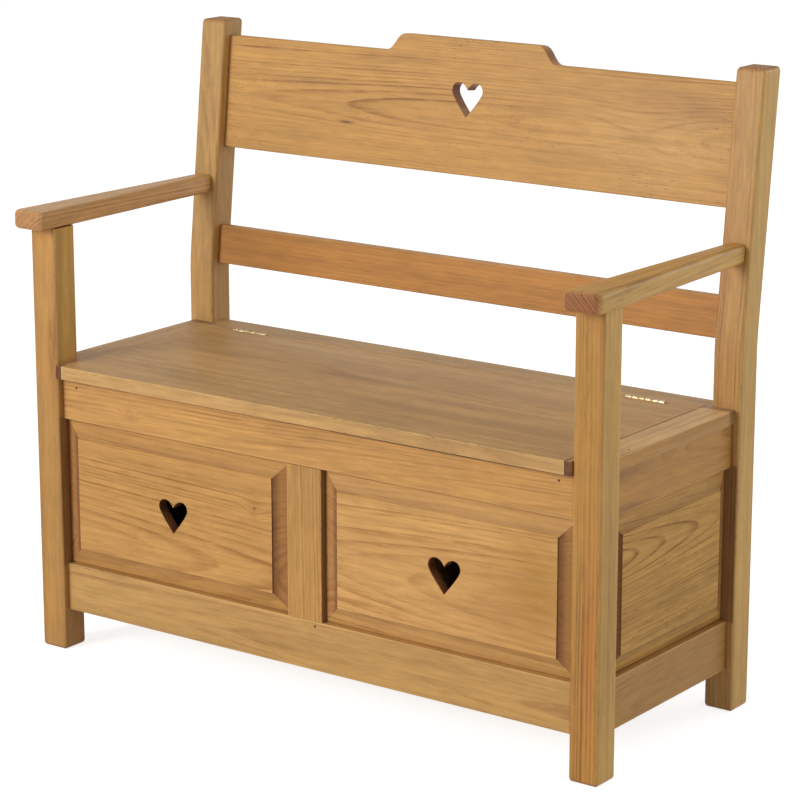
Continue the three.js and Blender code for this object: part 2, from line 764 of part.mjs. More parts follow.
// The knuckles belong to the two leaves in turn, the lid's first
function hingeLeaf(edge) {
  let leaf = block(leafBox(edge));
  for (let k = 0; k < HINGE_KNUCKLES; k += 1) {
    const x0 = -HINGE_LENGTH / 2 + k * knuckleLength;
    const x1 = x0 + knuckleLength;
    const own = (k % 2 === 0) === edge < 0;
    if (own) leaf = leaf.add(roundBar(KNUCKLE_RADIUS, x0 + SEAM / 2, x1 - SEAM / 2));
    else leaf = leaf.subtract(roundBar(KNUCKLE_RADIUS + FIT, x0 - SEAM / 2, x1 + SEAM / 2));
  }
  leaf = leaf.subtract(roundBar(PIN_RADIUS + PIN_FIT, -HINGE_LENGTH, HINGE_LENGTH));
  screwShifts.forEach((shift) => {
    leaf = leaf.subtract(leafScrew(edge, shift, FIT));
  });
  return leaf;
}

function hinge(side, sign) {
  const group = new THREE.Group();
  group.position.set(sign * hingeX, 0, 0);
  const pin = roundBar(PIN_RADIUS, -HINGE_LENGTH / 2, HINGE_LENGTH / 2);
  group.add(piece(`hinge_lid_leaf_${side}`, hingeLeaf(-1), BRASS));
  group.add(piece(`hinge_frame_leaf_${side}`, hingeLeaf(1), BRASS));
  group.add(piece(`hinge_pin_${side}`, pin, BRASS));
  screwShifts.forEach((shift, i) => {
    group.add(piece(`lid_screw_${side}_${i + 1}`, leafScrew(-1, shift, 0), BRASS));
    group.add(piece(`frame_screw_${side}_${i + 1}`, leafScrew(1, shift, 0), BRASS));
  });
  return group;
}

// The lid and its battens, in the frame of the hinges' axis
function seatLid() {
  const body = span(
    -lidHalf,
    lidHalf,
    -hingeY - LID_OVERHANG,
    -HINGE_JOINT / 2,
    -SEAT_BOARD,
    0,
  );
  let lid = plank(body, "x", SEAT_EASE);
  sides.forEach(({ sign }) => {
    lid = lid.subtract(hingeBed(-1, new THREE.Matrix4().setPosition(sign * hingeX, 0, 0)));
  });
  return lid;
}

function lidBatten() {
  const y0 = frontRailBack + BATTEN_FRONT_CLEAR - hingeY;
  const y1 = -HINGE_JOINT / 2 - BATTEN_REAR_CLEAR;
  const high = -SEAT_BOARD - SEAM;
  const half = BATTEN_WIDTH / 2;
  return plank(span(-half, half, y0, y1, high - BATTEN_THICK, high), "y", RAIL_EASE);
}

function seatGroup() {
  const group = new THREE.Group();
  group.position.set(0, hingeY, SEAT_HEIGHT);
  group.add(piece("seat_lid", seatLid(), PINE_SEAT));
  sides.forEach(({ side, sign }) => {
    const batten = piece(`lid_batten_${side}`, lidBatten(), PINE_RAW);
    batten.position.x = sign * (lidHalf - BATTEN_INSET);
    group.add(batten, hinge(side, sign));
  });
  return group;
}

// The chest's floor rests on cleats along the bottom rails
const cleatLow = BOTTOM_RAIL_LOW + CLEAT_LIFT;
const cleatHigh = cleatLow + CLEAT;
const frontCleatBack = POST + CLEAT_PAST_POST;
const rearCleatFront = rearFace - CLEAT_PAST_POST;

function crossCleat(y0, y1) {
  const half = postInner - SEAM;
  return plank(span(-half, half, y0, y1, cleatLow, cleatHigh), "x", RAIL_EASE);
}

function sideCleat() {
  const x1 = sideRailInner - SEAM;
  const y0 = frontCleatBack + SEAM;
  const y1 = rearCleatFront - SEAM;
  return plank(span(x1 - CLEAT, x1, y0, y1, cleatLow, cleatHigh), "y", RAIL_EASE);
}

function boxFloor() {
  const half = sideRailInner - FLOOR_CLEAR;
  const y0 = frontRailBack + FLOOR_CLEAR;
  const y1 = rearRailFront - FLOOR_CLEAR;
  const low = cleatHigh + SEAM;
  let floor = block(span(-half, half, y0, y1, low, low + FLOOR_THICK));
  [
    span(postInner, halfWidth, 0, POST, 0, SEAT_HEIGHT),
    span(postInner, halfWidth, rearFace, BENCH_DEPTH, 0, SEAT_HEIGHT),
  ].forEach((post) => {
    const corner = grown(post, FLOOR_CLEAR);
    floor = floor.subtract(block(corner)).subtract(block(mirrored(corner)));
  });
  return floor;
}

// Brads in the front frame and the seat strips
const railBradPlaces = sides.map(({ side, sign }) => ({
  name: `rail_brad_${side}`,
  place: drivenBack(sign * (postInner - RAIL_BRAD_INSET), FRONT_SET, topRailHigh - RAIL_BRAD_DROP),
}));
const muntinBradPlace = drivenBack(
  MUNTIN_WIDTH / 2 - MUNTIN_BRAD_INSET,
  FRONT_SET,
  bottomRailHigh - MUNTIN_BRAD_DROP,
);
const stripBradPlace = drivenDown(stripOuter - STRIP_BRAD_INSET, POST + STRIP_BRAD_BACK, SEAT_HEIGHT);

function frontTopRail() {
  let rail = frontRail(topRailLow, topRailHigh, true);
  railBradPlaces.forEach(({ place }) => {
    rail = rail.subtract(brad(RAIL_BRAD_LENGTH, FIT, place));
  });
  return rail;
}

function frontBottomRail() {
  const hole = brad(RAIL_BRAD_LENGTH, FIT, muntinBradPlace);
  return frontRail(BOTTOM_RAIL_LOW, bottomRailHigh, false).subtract(hole);
}

// Everything that stands on the right, which the left side mirrors
function sideGroup(side, sign) {
  const stripHole = brad(STRIP_BRAD_LENGTH, FIT, stripBradPlace);
  const group = new THREE.Group();
  const panel = piece(`side_panel_${side}`, sidePanel(), PINE_SIDE);
  panel.rotation.z = Math.PI / 2;
  panel.position.set(sideRailOuter, (POST + rearFace) / 2, (bottomRailHigh + topRailLow) / 2);
  group.add(
    piece(`front_post_${side}`, frontPost(), PINE_FACE),
    piece(`rear_post_${side}`, rearPost(), PINE_FACE),
    piece(`arm_${side}`, arm(), PINE_SEAT),
    piece(`side_bottom_rail_${side}`, sideRail(BOTTOM_RAIL_LOW, bottomRailHigh), PINE_SIDE),
    piece(`side_top_rail_${side}`, sideRail(topRailLow, topRailHigh).subtract(stripHole), PINE_SIDE),
    piece(`seat_strip_${side}`, seatStrip().subtract(stripHole), PINE_SEAT),
    piece(`strip_brad_${side}`, brad(STRIP_BRAD_LENGTH, 0, stripBradPlace), STEEL),
    piece(`floor_cleat_${side}`, sideCleat(), PINE_RAW),
    panel,
  );
  group.scale.x = sign;
  return group;
}

function frontFrame() {
  const group = new THREE.Group();
  const panelMiddle = frontOpening.getCenter(new THREE.Vector3());
  const bradHole = brad(RAIL_BRAD_LENGTH, FIT, muntinBradPlace);
  group.add(
    piece("front_top_rail", frontTopRail(), PINE_FACE),
    piece("front_bottom_rail", frontBottomRail(), PINE_FACE),
    piece("front_muntin", muntin().subtract(bradHole), PINE_FACE),
    piece("muntin_brad", brad(RAIL_BRAD_LENGTH, 0, muntinBradPlace), STEEL),
  );
  sides.forEach(({ side, sign }) => {
    const panel = piece(`front_panel_${side}`, frontPanel(), PINE_FACE);
    panel.position.set(sign * panelMiddle.x, FRONT_SET, panelMiddle.z);
    group.add(panel);
  });
  railBradPlaces.forEach(({ name, place }) => {
    group.add(piece(name, brad(RAIL_BRAD_LENGTH, 0, place), STEEL));
  });
  return group;
}

function rearFrame() {
  const group = new THREE.Group();
  group.add(
    piece("rear_top_rail", rearRail(topRailLow, topRailHigh), PINE_FACE),
    piece("rear_bottom_rail", rearRail(BOTTOM_RAIL_LOW, bottomRailHigh), PINE_FACE),
    piece("rear_panel", block(rearPanelBox), PINE_RAW),
    piece("seat_rear_board", seatRearBoard(), PINE_SEAT),
  );
  return group;
}

function chestFloor() {
  const group = new THREE.Group();
  group.add(
    piece("box_floor", boxFloor(), PINE_RAW),
    piece("floor_cleat_front", crossCleat(frontRailBack + SEAM, frontCleatBack), PINE_RAW),
    piece("floor_cleat_rear", crossCleat(rearCleatFront, rearRailFront - SEAM), PINE_RAW),
  );
  return group;
}

const bench = new THREE.Group();
backFrame.add(
  piece("lower_back_rail", lowerBackRail(), PINE_FACE),
  piece("crest_rail", crestRail(), PINE_FACE),
);
bench.add(frontFrame(), rearFrame(), chestFloor(), seatGroup(), backFrame);
sides.forEach(({ side, sign }) => bench.add(sideGroup(side, sign)));

// The bench's own frame has its origin under the middle of the whole bench
const whole = new THREE.Box3().setFromObject(bench);
bench.position.y = -(whole.min.y + whole.max.y) / 2;

export default bench;
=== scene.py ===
# %% [markdown]
# # A pine settle bench with a lift-up seat
# The bench is a joiner's piece: four posts, rails tenoned between them, raised panels in grooves, two arms,
# a leaning back and a seat lid on brass butt hinges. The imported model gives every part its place, and it
# stays fixed. This lesson loads it and gives each part softened edges and a waxed pine finish. Blender works
# in metres, so a size in millimetres is written times MM.

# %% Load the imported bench
import json
import math
from functools import partialmethod
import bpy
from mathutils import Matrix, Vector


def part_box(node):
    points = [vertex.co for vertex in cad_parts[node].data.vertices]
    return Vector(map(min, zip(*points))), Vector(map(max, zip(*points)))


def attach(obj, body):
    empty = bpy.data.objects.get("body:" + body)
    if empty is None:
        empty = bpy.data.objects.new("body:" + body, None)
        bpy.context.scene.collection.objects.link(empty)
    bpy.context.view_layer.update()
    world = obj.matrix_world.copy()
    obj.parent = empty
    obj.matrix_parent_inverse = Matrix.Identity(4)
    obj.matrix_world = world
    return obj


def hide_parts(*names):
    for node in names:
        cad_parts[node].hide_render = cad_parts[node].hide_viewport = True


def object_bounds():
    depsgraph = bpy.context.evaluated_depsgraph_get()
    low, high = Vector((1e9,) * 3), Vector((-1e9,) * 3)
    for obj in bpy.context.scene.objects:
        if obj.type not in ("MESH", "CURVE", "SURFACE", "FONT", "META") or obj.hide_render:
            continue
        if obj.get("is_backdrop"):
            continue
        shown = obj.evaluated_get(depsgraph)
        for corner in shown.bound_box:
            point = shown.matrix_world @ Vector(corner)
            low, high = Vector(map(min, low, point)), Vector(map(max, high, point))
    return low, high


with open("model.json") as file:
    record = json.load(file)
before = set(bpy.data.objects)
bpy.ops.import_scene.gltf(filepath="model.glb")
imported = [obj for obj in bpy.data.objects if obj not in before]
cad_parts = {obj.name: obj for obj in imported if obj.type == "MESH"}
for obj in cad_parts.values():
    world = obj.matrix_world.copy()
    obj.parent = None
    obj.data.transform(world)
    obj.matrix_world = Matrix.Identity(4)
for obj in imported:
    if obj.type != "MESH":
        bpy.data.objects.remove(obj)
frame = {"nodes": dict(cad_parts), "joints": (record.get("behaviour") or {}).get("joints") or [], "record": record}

from types import SimpleNamespace
import bmesh
import bpy
from mathutils import Matrix, Vector

MM = 0.001
nodes = frame["nodes"]
cad_low, cad_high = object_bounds()
print("box", [round(v / MM, 1) for v in (*cad_low, *cad_high)])

# %% [markdown]
# ## Camera
# The photographer stood well back to the right of the bench with a long lens, a little above the arms. A long
# lens could be faked with a close camera, but then the far post would shrink too much, so the real distance
# is kept.


# %% Camera
def new_object(name, data, place=(0, 0, 0), aim=None):
    """Adds an object to the scene, and turns a camera or a lamp towards its aim."""
    piece = bpy.data.objects.new(name, data)
    piece.location = place
    if aim is not None:
        piece.rotation_euler = (Vector(aim) - piece.location).to_track_quat("-Z", "Y").to_euler()
    bpy.context.scene.collection.objects.link(piece)
    return piece


camera_data = bpy.data.cameras.new("camera")
camera_data.lens = 130.39
camera_data.sensor_width = 36
camera_data.clip_end = 60
camera = new_object("camera", camera_data, place=(2.37775, -3.22616, 1.4272), aim=(0.0156, 0.0096, 0.4107))
bpy.context.scene.camera = camera
print("camera", round(camera.location.length, 2), "metres from the middle of the floor")

# %% [markdown]
# ## Shader sums as plain expressions
# A wood finish is mostly arithmetic on where a point lies in the board. Wiring that by hand takes dozens of
# Math nodes, so a small class wraps one output socket and lets Python write the sum. Each operator adds its
# own node.


# %% A socket that can be used in sums
class Wire:
    def __init__(self, tree, socket):
        self.tree = tree
        self.socket = socket

    def math(self, operation, *others):
        values = dict(enumerate((self, *others)))
        return add_node(self.tree, "ShaderNodeMath", values, operation=operation)

    __add__ = partialmethod(math, "ADD")
    __sub__ = partialmethod(math, "SUBTRACT")
    __mul__ = partialmethod(math, "MULTIPLY")
    __truediv__ = partialmethod(math, "DIVIDE")
    __pow__ = partialmethod(math, "POWER")
    __abs__ = partialmethod(math, "ABSOLUTE")
    least = partialmethod(math, "MINIMUM")
    most = partialmethod(math, "MAXIMUM")

    def __rsub__(self, other):
        return (self * -1) + other

    def ramp(self, start, end, low=0.0, high=1.0):
        """Goes smoothly from low to high while the value goes from start to end."""
        values = {"Value": self, "From Min": start, "From Max": end, "To Min": low, "To Max": high}
        return add_node(self.tree, "ShaderNodeMapRange", values, interpolation_type="SMOOTHSTEP")


def find_socket(sockets, key):
    """The socket with an identifier, or else at a number or with a name."""
    found = [socket for socket in sockets if socket.identifier == key]
    return found[0] if found else sockets[key]


def add_node(tree, kind, values=None, output=0, **settings):
    """Adds one node: its settings first, then for each socket a value, a wire or a list of wires."""
    node = tree.nodes.new(kind)
    for name, value in settings.items():
        setattr(node, name, value)
    for key, value in (values or {}).items():
        socket = find_socket(node.inputs, key)
        if isinstance(value, Wire):
            value = [value]
        if isinstance(value, list):
            for wire in value:
                tree.links.new(wire.socket, socket)
        else:
            socket.default_value = value
    return Wire(tree, find_socket(node.outputs, output))


def tree_of(*parts):
    """The tree of the first wire among some values."""
    return next(part.tree for part in parts if isinstance(part, Wire))


# %% Colours
def mix_colours(factor, a, b):
    values = {"Factor_Float": factor, "A_Color": a, "B_Color": b}
    return add_node(tree_of(factor, a, b), "ShaderNodeMix", values, "Result_Color", data_type="RGBA")


def shaded(colour, level):
    """A colour made darker or lighter by a wire round 1."""
    values = {"Vector": colour, "Scale": level}
    return add_node(level.tree, "ShaderNodeVectorMath", values, operation="SCALE")


def facing(tree, direction):
    """How much a face looks in a direction: 1 straight along it, -1 straight against it."""
    values = {0: add_node(tree, "ShaderNodeTexCoord", {}, "Normal"), 1: direction}
    return add_node(tree, "ShaderNodeVectorMath", values, "Value", operation="DOT_PRODUCT")


def paint(red, green, blue):
    """A colour as it looks on a screen, 0 to 255, turned to the linear values that Blender works in."""
    return (*(((c / 255 + 0.055) / 1.055) ** 2.4 for c in (red, green, blue)), 1.0)


def new_finish(name):
    material = bpy.data.materials.new(name)
    material.use_nodes = True
    material.node_tree.nodes.clear()
    return material, material.node_tree


def close_finish(surface, of="Material"):
    output = surface.tree.nodes.new("ShaderNodeOutput" + of)
    surface.tree.links.new(surface.socket, output.inputs["Surface"])


print("mid grey is", round(paint(128, 128, 128)[0], 3), "as a linear value")

# %% [markdown]
# ## Floor and light
# The bench stands in a white studio. The floor is a pale matt sheet that keeps the shadow. What the camera
# and the polished parts see of the room is plain white, while the wood itself is lit at a level where a
# colour looks as it is written: a broad soft lamp to the front and left, a weaker one to the right, one
# behind, and a little light from all round.

# %% Floor
WHITE = (1, 1, 1, 1)
SHEET = (0.72, 0.72, 0.72, 1)  # the floor as the bench sees it
LIT_SHEET = (0.6, 0.6, 0.6, 1)  # the floor as the camera sees it, in the light of the lamps
GLOW = 0.78  # is added to that, so the open floor is white and only the shadow shows
FLOOR_REACH = 9


def seen_directly(tree):
    """1 for what the camera sees, also by way of a polished or a clear surface."""
    path = add_node(tree, "ShaderNodeLightPath")
    glossy = Wire(tree, path.socket.node.outputs["Is Glossy Ray"])
    through = Wire(tree, path.socket.node.outputs["Is Transmission Ray"])
    return path.most(glossy).most(through)


floor_finish, tree = new_finish("studio_floor")
sheet = add_node(tree, "ShaderNodeBsdfDiffuse", {"Color": SHEET})
lit = add_node(tree, "ShaderNodeBsdfDiffuse", {"Color": LIT_SHEET})
glow = add_node(tree, "ShaderNodeEmission", {"Color": WHITE, "Strength": GLOW})
both = add_node(tree, "ShaderNodeAddShader", {0: lit, 1: glow})
close_finish(add_node(tree, "ShaderNodeMixShader", {0: seen_directly(tree), 1: sheet, 2: both}))

floor_mesh = bpy.data.meshes.new("studio_floor")
corners = [(x * FLOOR_REACH, y * FLOOR_REACH, 0) for x, y in ((-1, -1), (1, -1), (1, 1), (-1, 1))]
floor_mesh.from_pydata(corners, [], [(0, 1, 2, 3)])
floor_mesh.materials.append(floor_finish)
new_object("studio_floor", floor_mesh)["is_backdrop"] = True
print("floor", FLOOR_REACH * 2, "metres square")

# %% Lamps and room light
ROOM_LEVEL = 0.42
BENCH_MIDDLE = (0, 0, 0.45)
world = bpy.data.worlds.new("studio")
world.use_nodes = True
bpy.context.scene.world = world
tree = world.node_tree
tree.nodes.clear()
around = add_node(tree, "ShaderNodeBackground", {"Color": WHITE, "Strength": ROOM_LEVEL})
backdrop = add_node(tree, "ShaderNodeBackground", {"Color": WHITE, "Strength": 1.0})
room = add_node(tree, "ShaderNodeMixShader", {0: seen_directly(tree), 1: around, 2: backdrop})
close_finish(room, "World")


def soft_lamp(name, place, width, watts):
    """A round lamp that points at the middle of the bench."""
    data = bpy.data.lights.new(name, "AREA")
    data.shape = "DISK"
    data.size = width
    data.energy = watts
    new_object(name, data, place, aim=BENCH_MIDDLE)
    print(name, watts, "W")


soft_lamp("key_lamp", place=(-1.8, -4.2, 2.0), width=2.2, watts=145)
soft_lamp("side_lamp", place=(3.6, -0.6, 1.6), width=2.4, watts=18)
soft_lamp("back_lamp", place=(2.2, 4.4, 1.7), width=2.4, watts=50)
bpy.context.scene.view_settings.view_transform = "Standard"

# %% [markdown]
# ## Pine
# Pine is a bundle of growth rings round a pith. A board is a slice through them, so every mark on it, the
# flame figure on a flat face, straight lines on an edge and arcs on an end, comes from one thing: the
# distance from a point to the pith. The finish below works that distance out inside the board, and reads the
# ring that the point lies in. A picture of wood would be quicker, but it would stretch at the ends and would
# not turn the corners.

# %% The way a board lies in its log
UP = Vector((0, 0, 1))
RIGHT = Vector((1, 0, 0))
BACK = Vector((0, 1, 0))


class Board:
    """Where a board's own directions point: along its grain, across its best face, and out of that face."""

    def __init__(self, node, grain, across):
        self.grain = grain.normalized()
        self.across = across.normalized()
        self.turn = Matrix((self.grain, self.across, self.grain.cross(self.across)))
        turned = [self.turn @ v.co for v in nodes[node].data.vertices]
        low = Vector(min(p[k] for p in turned) for k in range(3))
        high = Vector(max(p[k] for p in turned) for k in range(3))
        self.centre = self.turn.transposed() @ ((low + high) / 2)
        self.half = (high - low) / 2

    def mapping(self, tree):
        place = {
            "Vector": add_node(tree, "ShaderNodeTexCoord", {}, "Object"),
            "Location": -(self.turn @ self.centre),
            "Rotation": self.turn.to_euler("XYZ"),
        }
        return add_node(tree, "ShaderNodeMapping", place)


print("half the lid is", [round(v / MM, 1) for v in Board("seat_lid", RIGHT, BACK).half])

# %% The patterns in a board
# Each is a noise: its stretch along, across and out of the board, what it adds to the board's own seed, its
# detail and, where that isn't 0.5, its roughness
WOOD_NOISE = {
    "bend": ((2.4, 5, 5), 0.0, 1.0),
    "lean": ((1.7, 4, 4), 7.3, 1.0),
    "ripple": ((11, 46, 46), 3.1, 2.0),
    "region": ((3, 14, 14), 1.7, 1.0),
    "broken": ((24, 190, 190), 12.4, 2.0),
    "fibre": ((18, 420, 420), 5.9, 3.0, 0.65),
    "streak": ((2.4, 95, 95), 2.3, 3.0, 0.65),
    "cloud": ((5, 13, 13), 9.1, 3.0, 0.55),
    "mottle": ((30, 100, 100), 15.2, 2.0),
    "dashes": ((95, 1500, 1500), 4.4, 0.0),
    "pore_groups": ((6, 18, 18), 6.1, 1.0),
    "smudge": ((1.6, 12, 12), 8.2, 3.0, 0.6),
}
STAVE_SHIFT = 90 * MM  # how far apart the piths of two glued staves may lie


def noise_at(vector, stretch, seed, detail, rough=0.5):
    """Smooth noise from 0 to 1."""
    stretched = add_node(vector.tree, "ShaderNodeVectorMath", {0: vector, 1: stretch}, operation="MULTIPLY")
    values = {"Vector": stretched, "W": seed, "Scale": 1.0, "Detail": detail, "Roughness": rough}
    return add_node(vector.tree, "ShaderNodeTexNoise", values, noise_dimensions="4D")


class Grain:
    """Where a point lies in its board, and the patterns that it reads there."""

    def __init__(self, tree, board, seed):
        self.tree, self.board, self.seed = tree, board, seed
        place = board.mapping(tree)
        parts = add_node(tree, "ShaderNodeSeparateXYZ", {0: place})
        self.along, self.across, self.out = (Wire(tree, s) for s in parts.socket.node.outputs)
        for name, (stretch, other, *texture) in WOOD_NOISE.items():
            setattr(self, name, noise_at(place, stretch, seed + other, *texture))

    def luck(self, number, other=0.0):
        """A number from 0 to 1 that is the same wherever the given number is."""
        values = {"W": number + (self.seed + other)}
        return add_node(self.tree, "ShaderNodeTexWhiteNoise", values, noise_dimensions="1D")

    def stave_luck(self, width, other=0.0):
        """The same for each of the staves that a wide board is glued up from."""
        return self.luck((self.across / (width * MM) + 0.5).math("FLOOR"), other)

    def spot(self, where_along, where_across, long, wide):
        """A soft round spot, 1 in its middle. Its place and its two reaches are in millimetres."""
        a = (self.along - where_along * MM) / (long * MM)
        b = (self.across - where_across * MM) / (wide * MM)
        return ((a * a + b * b) * -1).math("EXPONENT")


print(len(WOOD_NOISE), "patterns")

# %% Growth rings
KNOT_LENGTH = 1.7  # a knot pulls the rings this much further along the grain than across it


def growth_rings(grain, like):
    """How dark the late wood is at a point, and how far through its ring the point lies, both 0 to 1."""
    wander = 2 * like.sway * MM
    sideways = grain.across - like.pith[0] * MM + (grain.bend - 0.5) * wander
    deep = grain.out - like.pith[1] * MM - grain.along * (like.taper * MM) + (grain.lean - 0.5) * wander
    for where_along, where_across, size, pull in like.knots:
        deep = deep + grain.spot(where_along, where_across, size * KNOT_LENGTH, size) * (pull * MM)
    if like.staves:
        sideways = sideways + (grain.stave_luck(like.staves) - 0.5) * STAVE_SHIFT
    reach = (sideways * sideways + deep * deep) ** 0.5 + (grain.ripple - 0.5) * (0.9 * MM)

    count = reach / (like.ring * MM)
    year = {"W": count * 0.43 + grain.seed * 11.0, "Scale": 1.0, "Detail": 1.0}
    good_years = add_node(grain.tree, "ShaderNodeTexNoise", year, noise_dimensions="1D")
    count = count + good_years * 1.6
    phase = count.math("FRACT")
    late = phase.ramp(like.crisp, 0.9) * phase.ramp(0.92, 1.0, 1.0, 0.0)
    each = grain.luck(count.math("FLOOR")) * 0.65 + 0.35
    late = late * each * grain.region.ramp(0.3, 0.65, 0.3, 1.0) * grain.broken.ramp(0.36, 0.58, 0.4, 1.0)
    if like.fade:
        start, end, low = like.fade
        late = late * grain.across.ramp(start * MM, end * MM, low, 1.0)
    return late, phase


# %% [markdown]
# The colour goes on in the order in which a finisher would see it happen: the wood and its late rings, the
# dark pores, the thirsty end grain, the tints and patches, some of them stains of age and some painted light
# and shade, and last the edges, rubbed pale as wear and as a painted highlight, with dirt, wax and painted
# shade in the corners.

# %% Tones of old waxed pine
# glaze is a real glaze and also the colour of painted shade in recesses; painted_side_light lightens faces that
# look right as painted light; pore is also the colour of a painted shadow line and of painted shade on heart walls
TONES = {
    "late": paint(132, 80, 36),
    "end": paint(150, 93, 58),
    "glaze": paint(86, 47, 34),
    "russet": paint(176, 92, 40),
    "painted_side_light": paint(195, 155, 83),
    "umber": paint(172, 124, 62),
    "pale": paint(226, 184, 124),
    "pore": paint(76, 48, 28),
    "olive": paint(140, 110, 62),
}
print("tones", *TONES)


# %% Wood, pores and end grain
def bare_wood(grain, like, late):
    """The colour of the wood, and the light and dark that lies over it."""
    shade = (grain.fibre - 0.5) * 0.6 + (grain.streak - 0.5) * like.streaks + (grain.mottle - 0.5) * 0.34
    shade = shade + (grain.cloud - 0.5) * like.clouds + 1.0
    if like.staves:
        shade = shade + (grain.stave_luck(like.staves, 0.37) - 0.5) * 0.09
    wood = mix_colours(late * like.figure, paint(*like.tone), TONES["late"])
    wood = mix_colours(grain.cloud.ramp(0.5, 0.8, 0.0, like.olive), wood, TONES["olive"])
    return shaded(wood, shade), shade


def end_grain(grain, like, wood, phase):
    """Darkens faces that cut across the grain, and draws the rings on those that cut it squarely."""
    squarely = abs(facing(grain.tree, grain.board.grain))
    thirsty = squarely.ramp(0.1, 0.42, 0.0, like.thirst)
    end = squarely.ramp(0.6, 0.95)
    ring = phase.ramp(0.4, 0.9) * phase.ramp(0.92, 1.0, 0.8, 0.0)
    wood = mix_colours(thirsty, wood, TONES["end"])
    return mix_colours(end * like.end, wood, mix_colours(ring, TONES["end"], TONES["glaze"])), end


# %% Stains
def stained(grain, like, wood, shade):
    """Adds the tints, the smudges and the patches. Some tints and patches are stains and dirt, and some are
    painted light and painted shade.

    A tint is (direction, low, high, soft, tone, strength): it lies on the faces that look in the direction,
    between two places along the grain, and fades out over a distance. A patch is (along, across, long, wide,
    strength, tone), measured from the board's middle. All places and lengths are in millimetres."""
    middle = grain.board.centre.dot(grain.board.grain)
    for direction, low, high, soft, tone, strength in like.tints:
        reach = grain.along.ramp(low * MM - middle, (low + soft) * MM - middle)
        reach = reach * grain.along.ramp((high - soft) * MM - middle, high * MM - middle, 1.0, 0.0)
        reach = reach * grain.streak.ramp(0.3, 0.6, 0.6, 1.0)
        side = facing(grain.tree, direction).ramp(0.6, 0.95, 0.0, strength)
        wood = mix_colours(side * reach, wood, shaded(TONES[tone][:3], shade))
    if like.smudge:
        smudge = grain.smudge.ramp(0.5, 0.68, 0.0, like.smudge) * grain.streak.ramp(0.35, 0.65, 0.4, 1.0)
        wood = mix_colours(smudge, wood, TONES["pore"])
    for *where, strength, tone in like.patches:
        patch = grain.spot(*where) * grain.streak.ramp(0.3, 0.65, 0.35, 1.0) * strength
        wood = mix_colours(patch, wood, TONES[tone])
    return wood


# %% Edges and corners
SHADE_AND_WAX_BESIDE_TENON = 8  # millimetres of wax and painted shade beside a tenon's shoulder
TONGUE_AND_MARGIN = 35 * MM  # from the end of a panel to the edge of its raised field
FIELD_EDGE = (1 * MM, 1.5 * MM, 14 * MM)  # outside it, wax and painted shade under the field's step set in, are darkest and have thinned out
GROOVE_EDGE = (23 * MM, 27 * MM)  # further out, dirt and painted shade in the recess at the groove set in and are darkest


def worn_edges(grain, like, wood, end):
    """Rubs the edges pale, as wear and as a painted highlight, leaves dark dashes of dirt, and lays wax with
    painted shade beside tenons, round a raised field and at its groove.
    """
    half = grain.board.half
    near_end = half.x - abs(grain.along)
    near_side = half.y - abs(grain.across)
    near_face = half.z - abs(grain.out)
    edge = near_end.most(near_side).least(near_side.most(near_face)).least(near_end.most(near_face))
    # pale edges: worn wood, and also a painted highlight along every edge
    worn_and_highlit = edge.ramp(0.2 * MM, 3.4 * MM, 1.0, 0.0) * grain.cloud.ramp(0.3, 0.6, 0.35, 1.0)
    wood = mix_colours(worn_and_highlit * (1 - end * 0.6) * 0.3, wood, TONES["pale"])
    grime = edge.ramp(0.5 * MM, 5 * MM, 1.0, 0.0) * grain.dashes.ramp(0.56, 0.66)
    wood = mix_colours(grime * grain.region.ramp(0.45, 0.6) * 0.5, wood, TONES["pore"])

    # wax with painted shade beside the tenons, in the corner where a rail meets a post
    shade_and_wax = near_end.ramp(like.tuck * MM, (like.tuck + SHADE_AND_WAX_BESIDE_TENON) * MM, 0.6, 0.0)
    # round a raised field: wax with painted shade under the field's step, stronger at the ends, and dirt with
    # painted shade in the recess at the groove
    if like.raised:
        outside = near_end.least(near_side) * -1 + TONGUE_AND_MARGIN
        at_end = (near_side - near_end).ramp(-0.3 * MM, 0.3 * MM, 0.42, 1.0)
        sets_in, darkest, thin = FIELD_EDGE
        quirk = at_end * outside.ramp(0.0, sets_in) * outside.ramp(darkest, thin, like.raised, 0.12)
        shade_and_wax = shade_and_wax.most(quirk).most(outside.ramp(*GROOVE_EDGE, 0.0, like.raised * 0.7))
    shade_and_wax = shade_and_wax * grain.streak.ramp(0.2, 0.7, 0.65, 1.0)
    return mix_colours(shade_and_wax, wood, TONES["glaze"]), worn_and_highlit


# %% The waxed pine finish
# What a board's finish is like unless its own call says otherwise. Lengths are in millimetres
PLAIN_BOARD = {
    "ring": 4.6,  # mean width of a growth ring
    "taper": 0.0,  # how far the pith drifts out for each metre of grain
    "sway": 7.0,  # how far the log wanders
    "figure": 0.55,  # strength of the late wood
    "crisp": 0.35,  # share of a ring that is early wood
    "fade": None,  # (across, across, level): the figure rises from that level between two places
    "knots": (),  # (along, across, size, pull)
    "staves": 0,  # width of the staves that a wide board is glued up from
    "streaks": 0.6,
    "clouds": 0.42,
    "olive": 0.2,
    "pores": 0.35,
    "thirst": 0.5,  # how much stain a slope across the grain drinks
    "end": 0.8,  # how dark the end grain is
    "tints": (),
    "smudge": 0.0,
    "patches": (),
    "tuck": -9,  # length of the tenons, beside which wax gathers and shade is painted, or below 0 for neither
    "raised": 0.0,  # strength of the wax and painted shade round the raised field of a panel and at its groove
    "rough": 0.5,
    "shine": 0.26,
    "wax": 0.05,
}


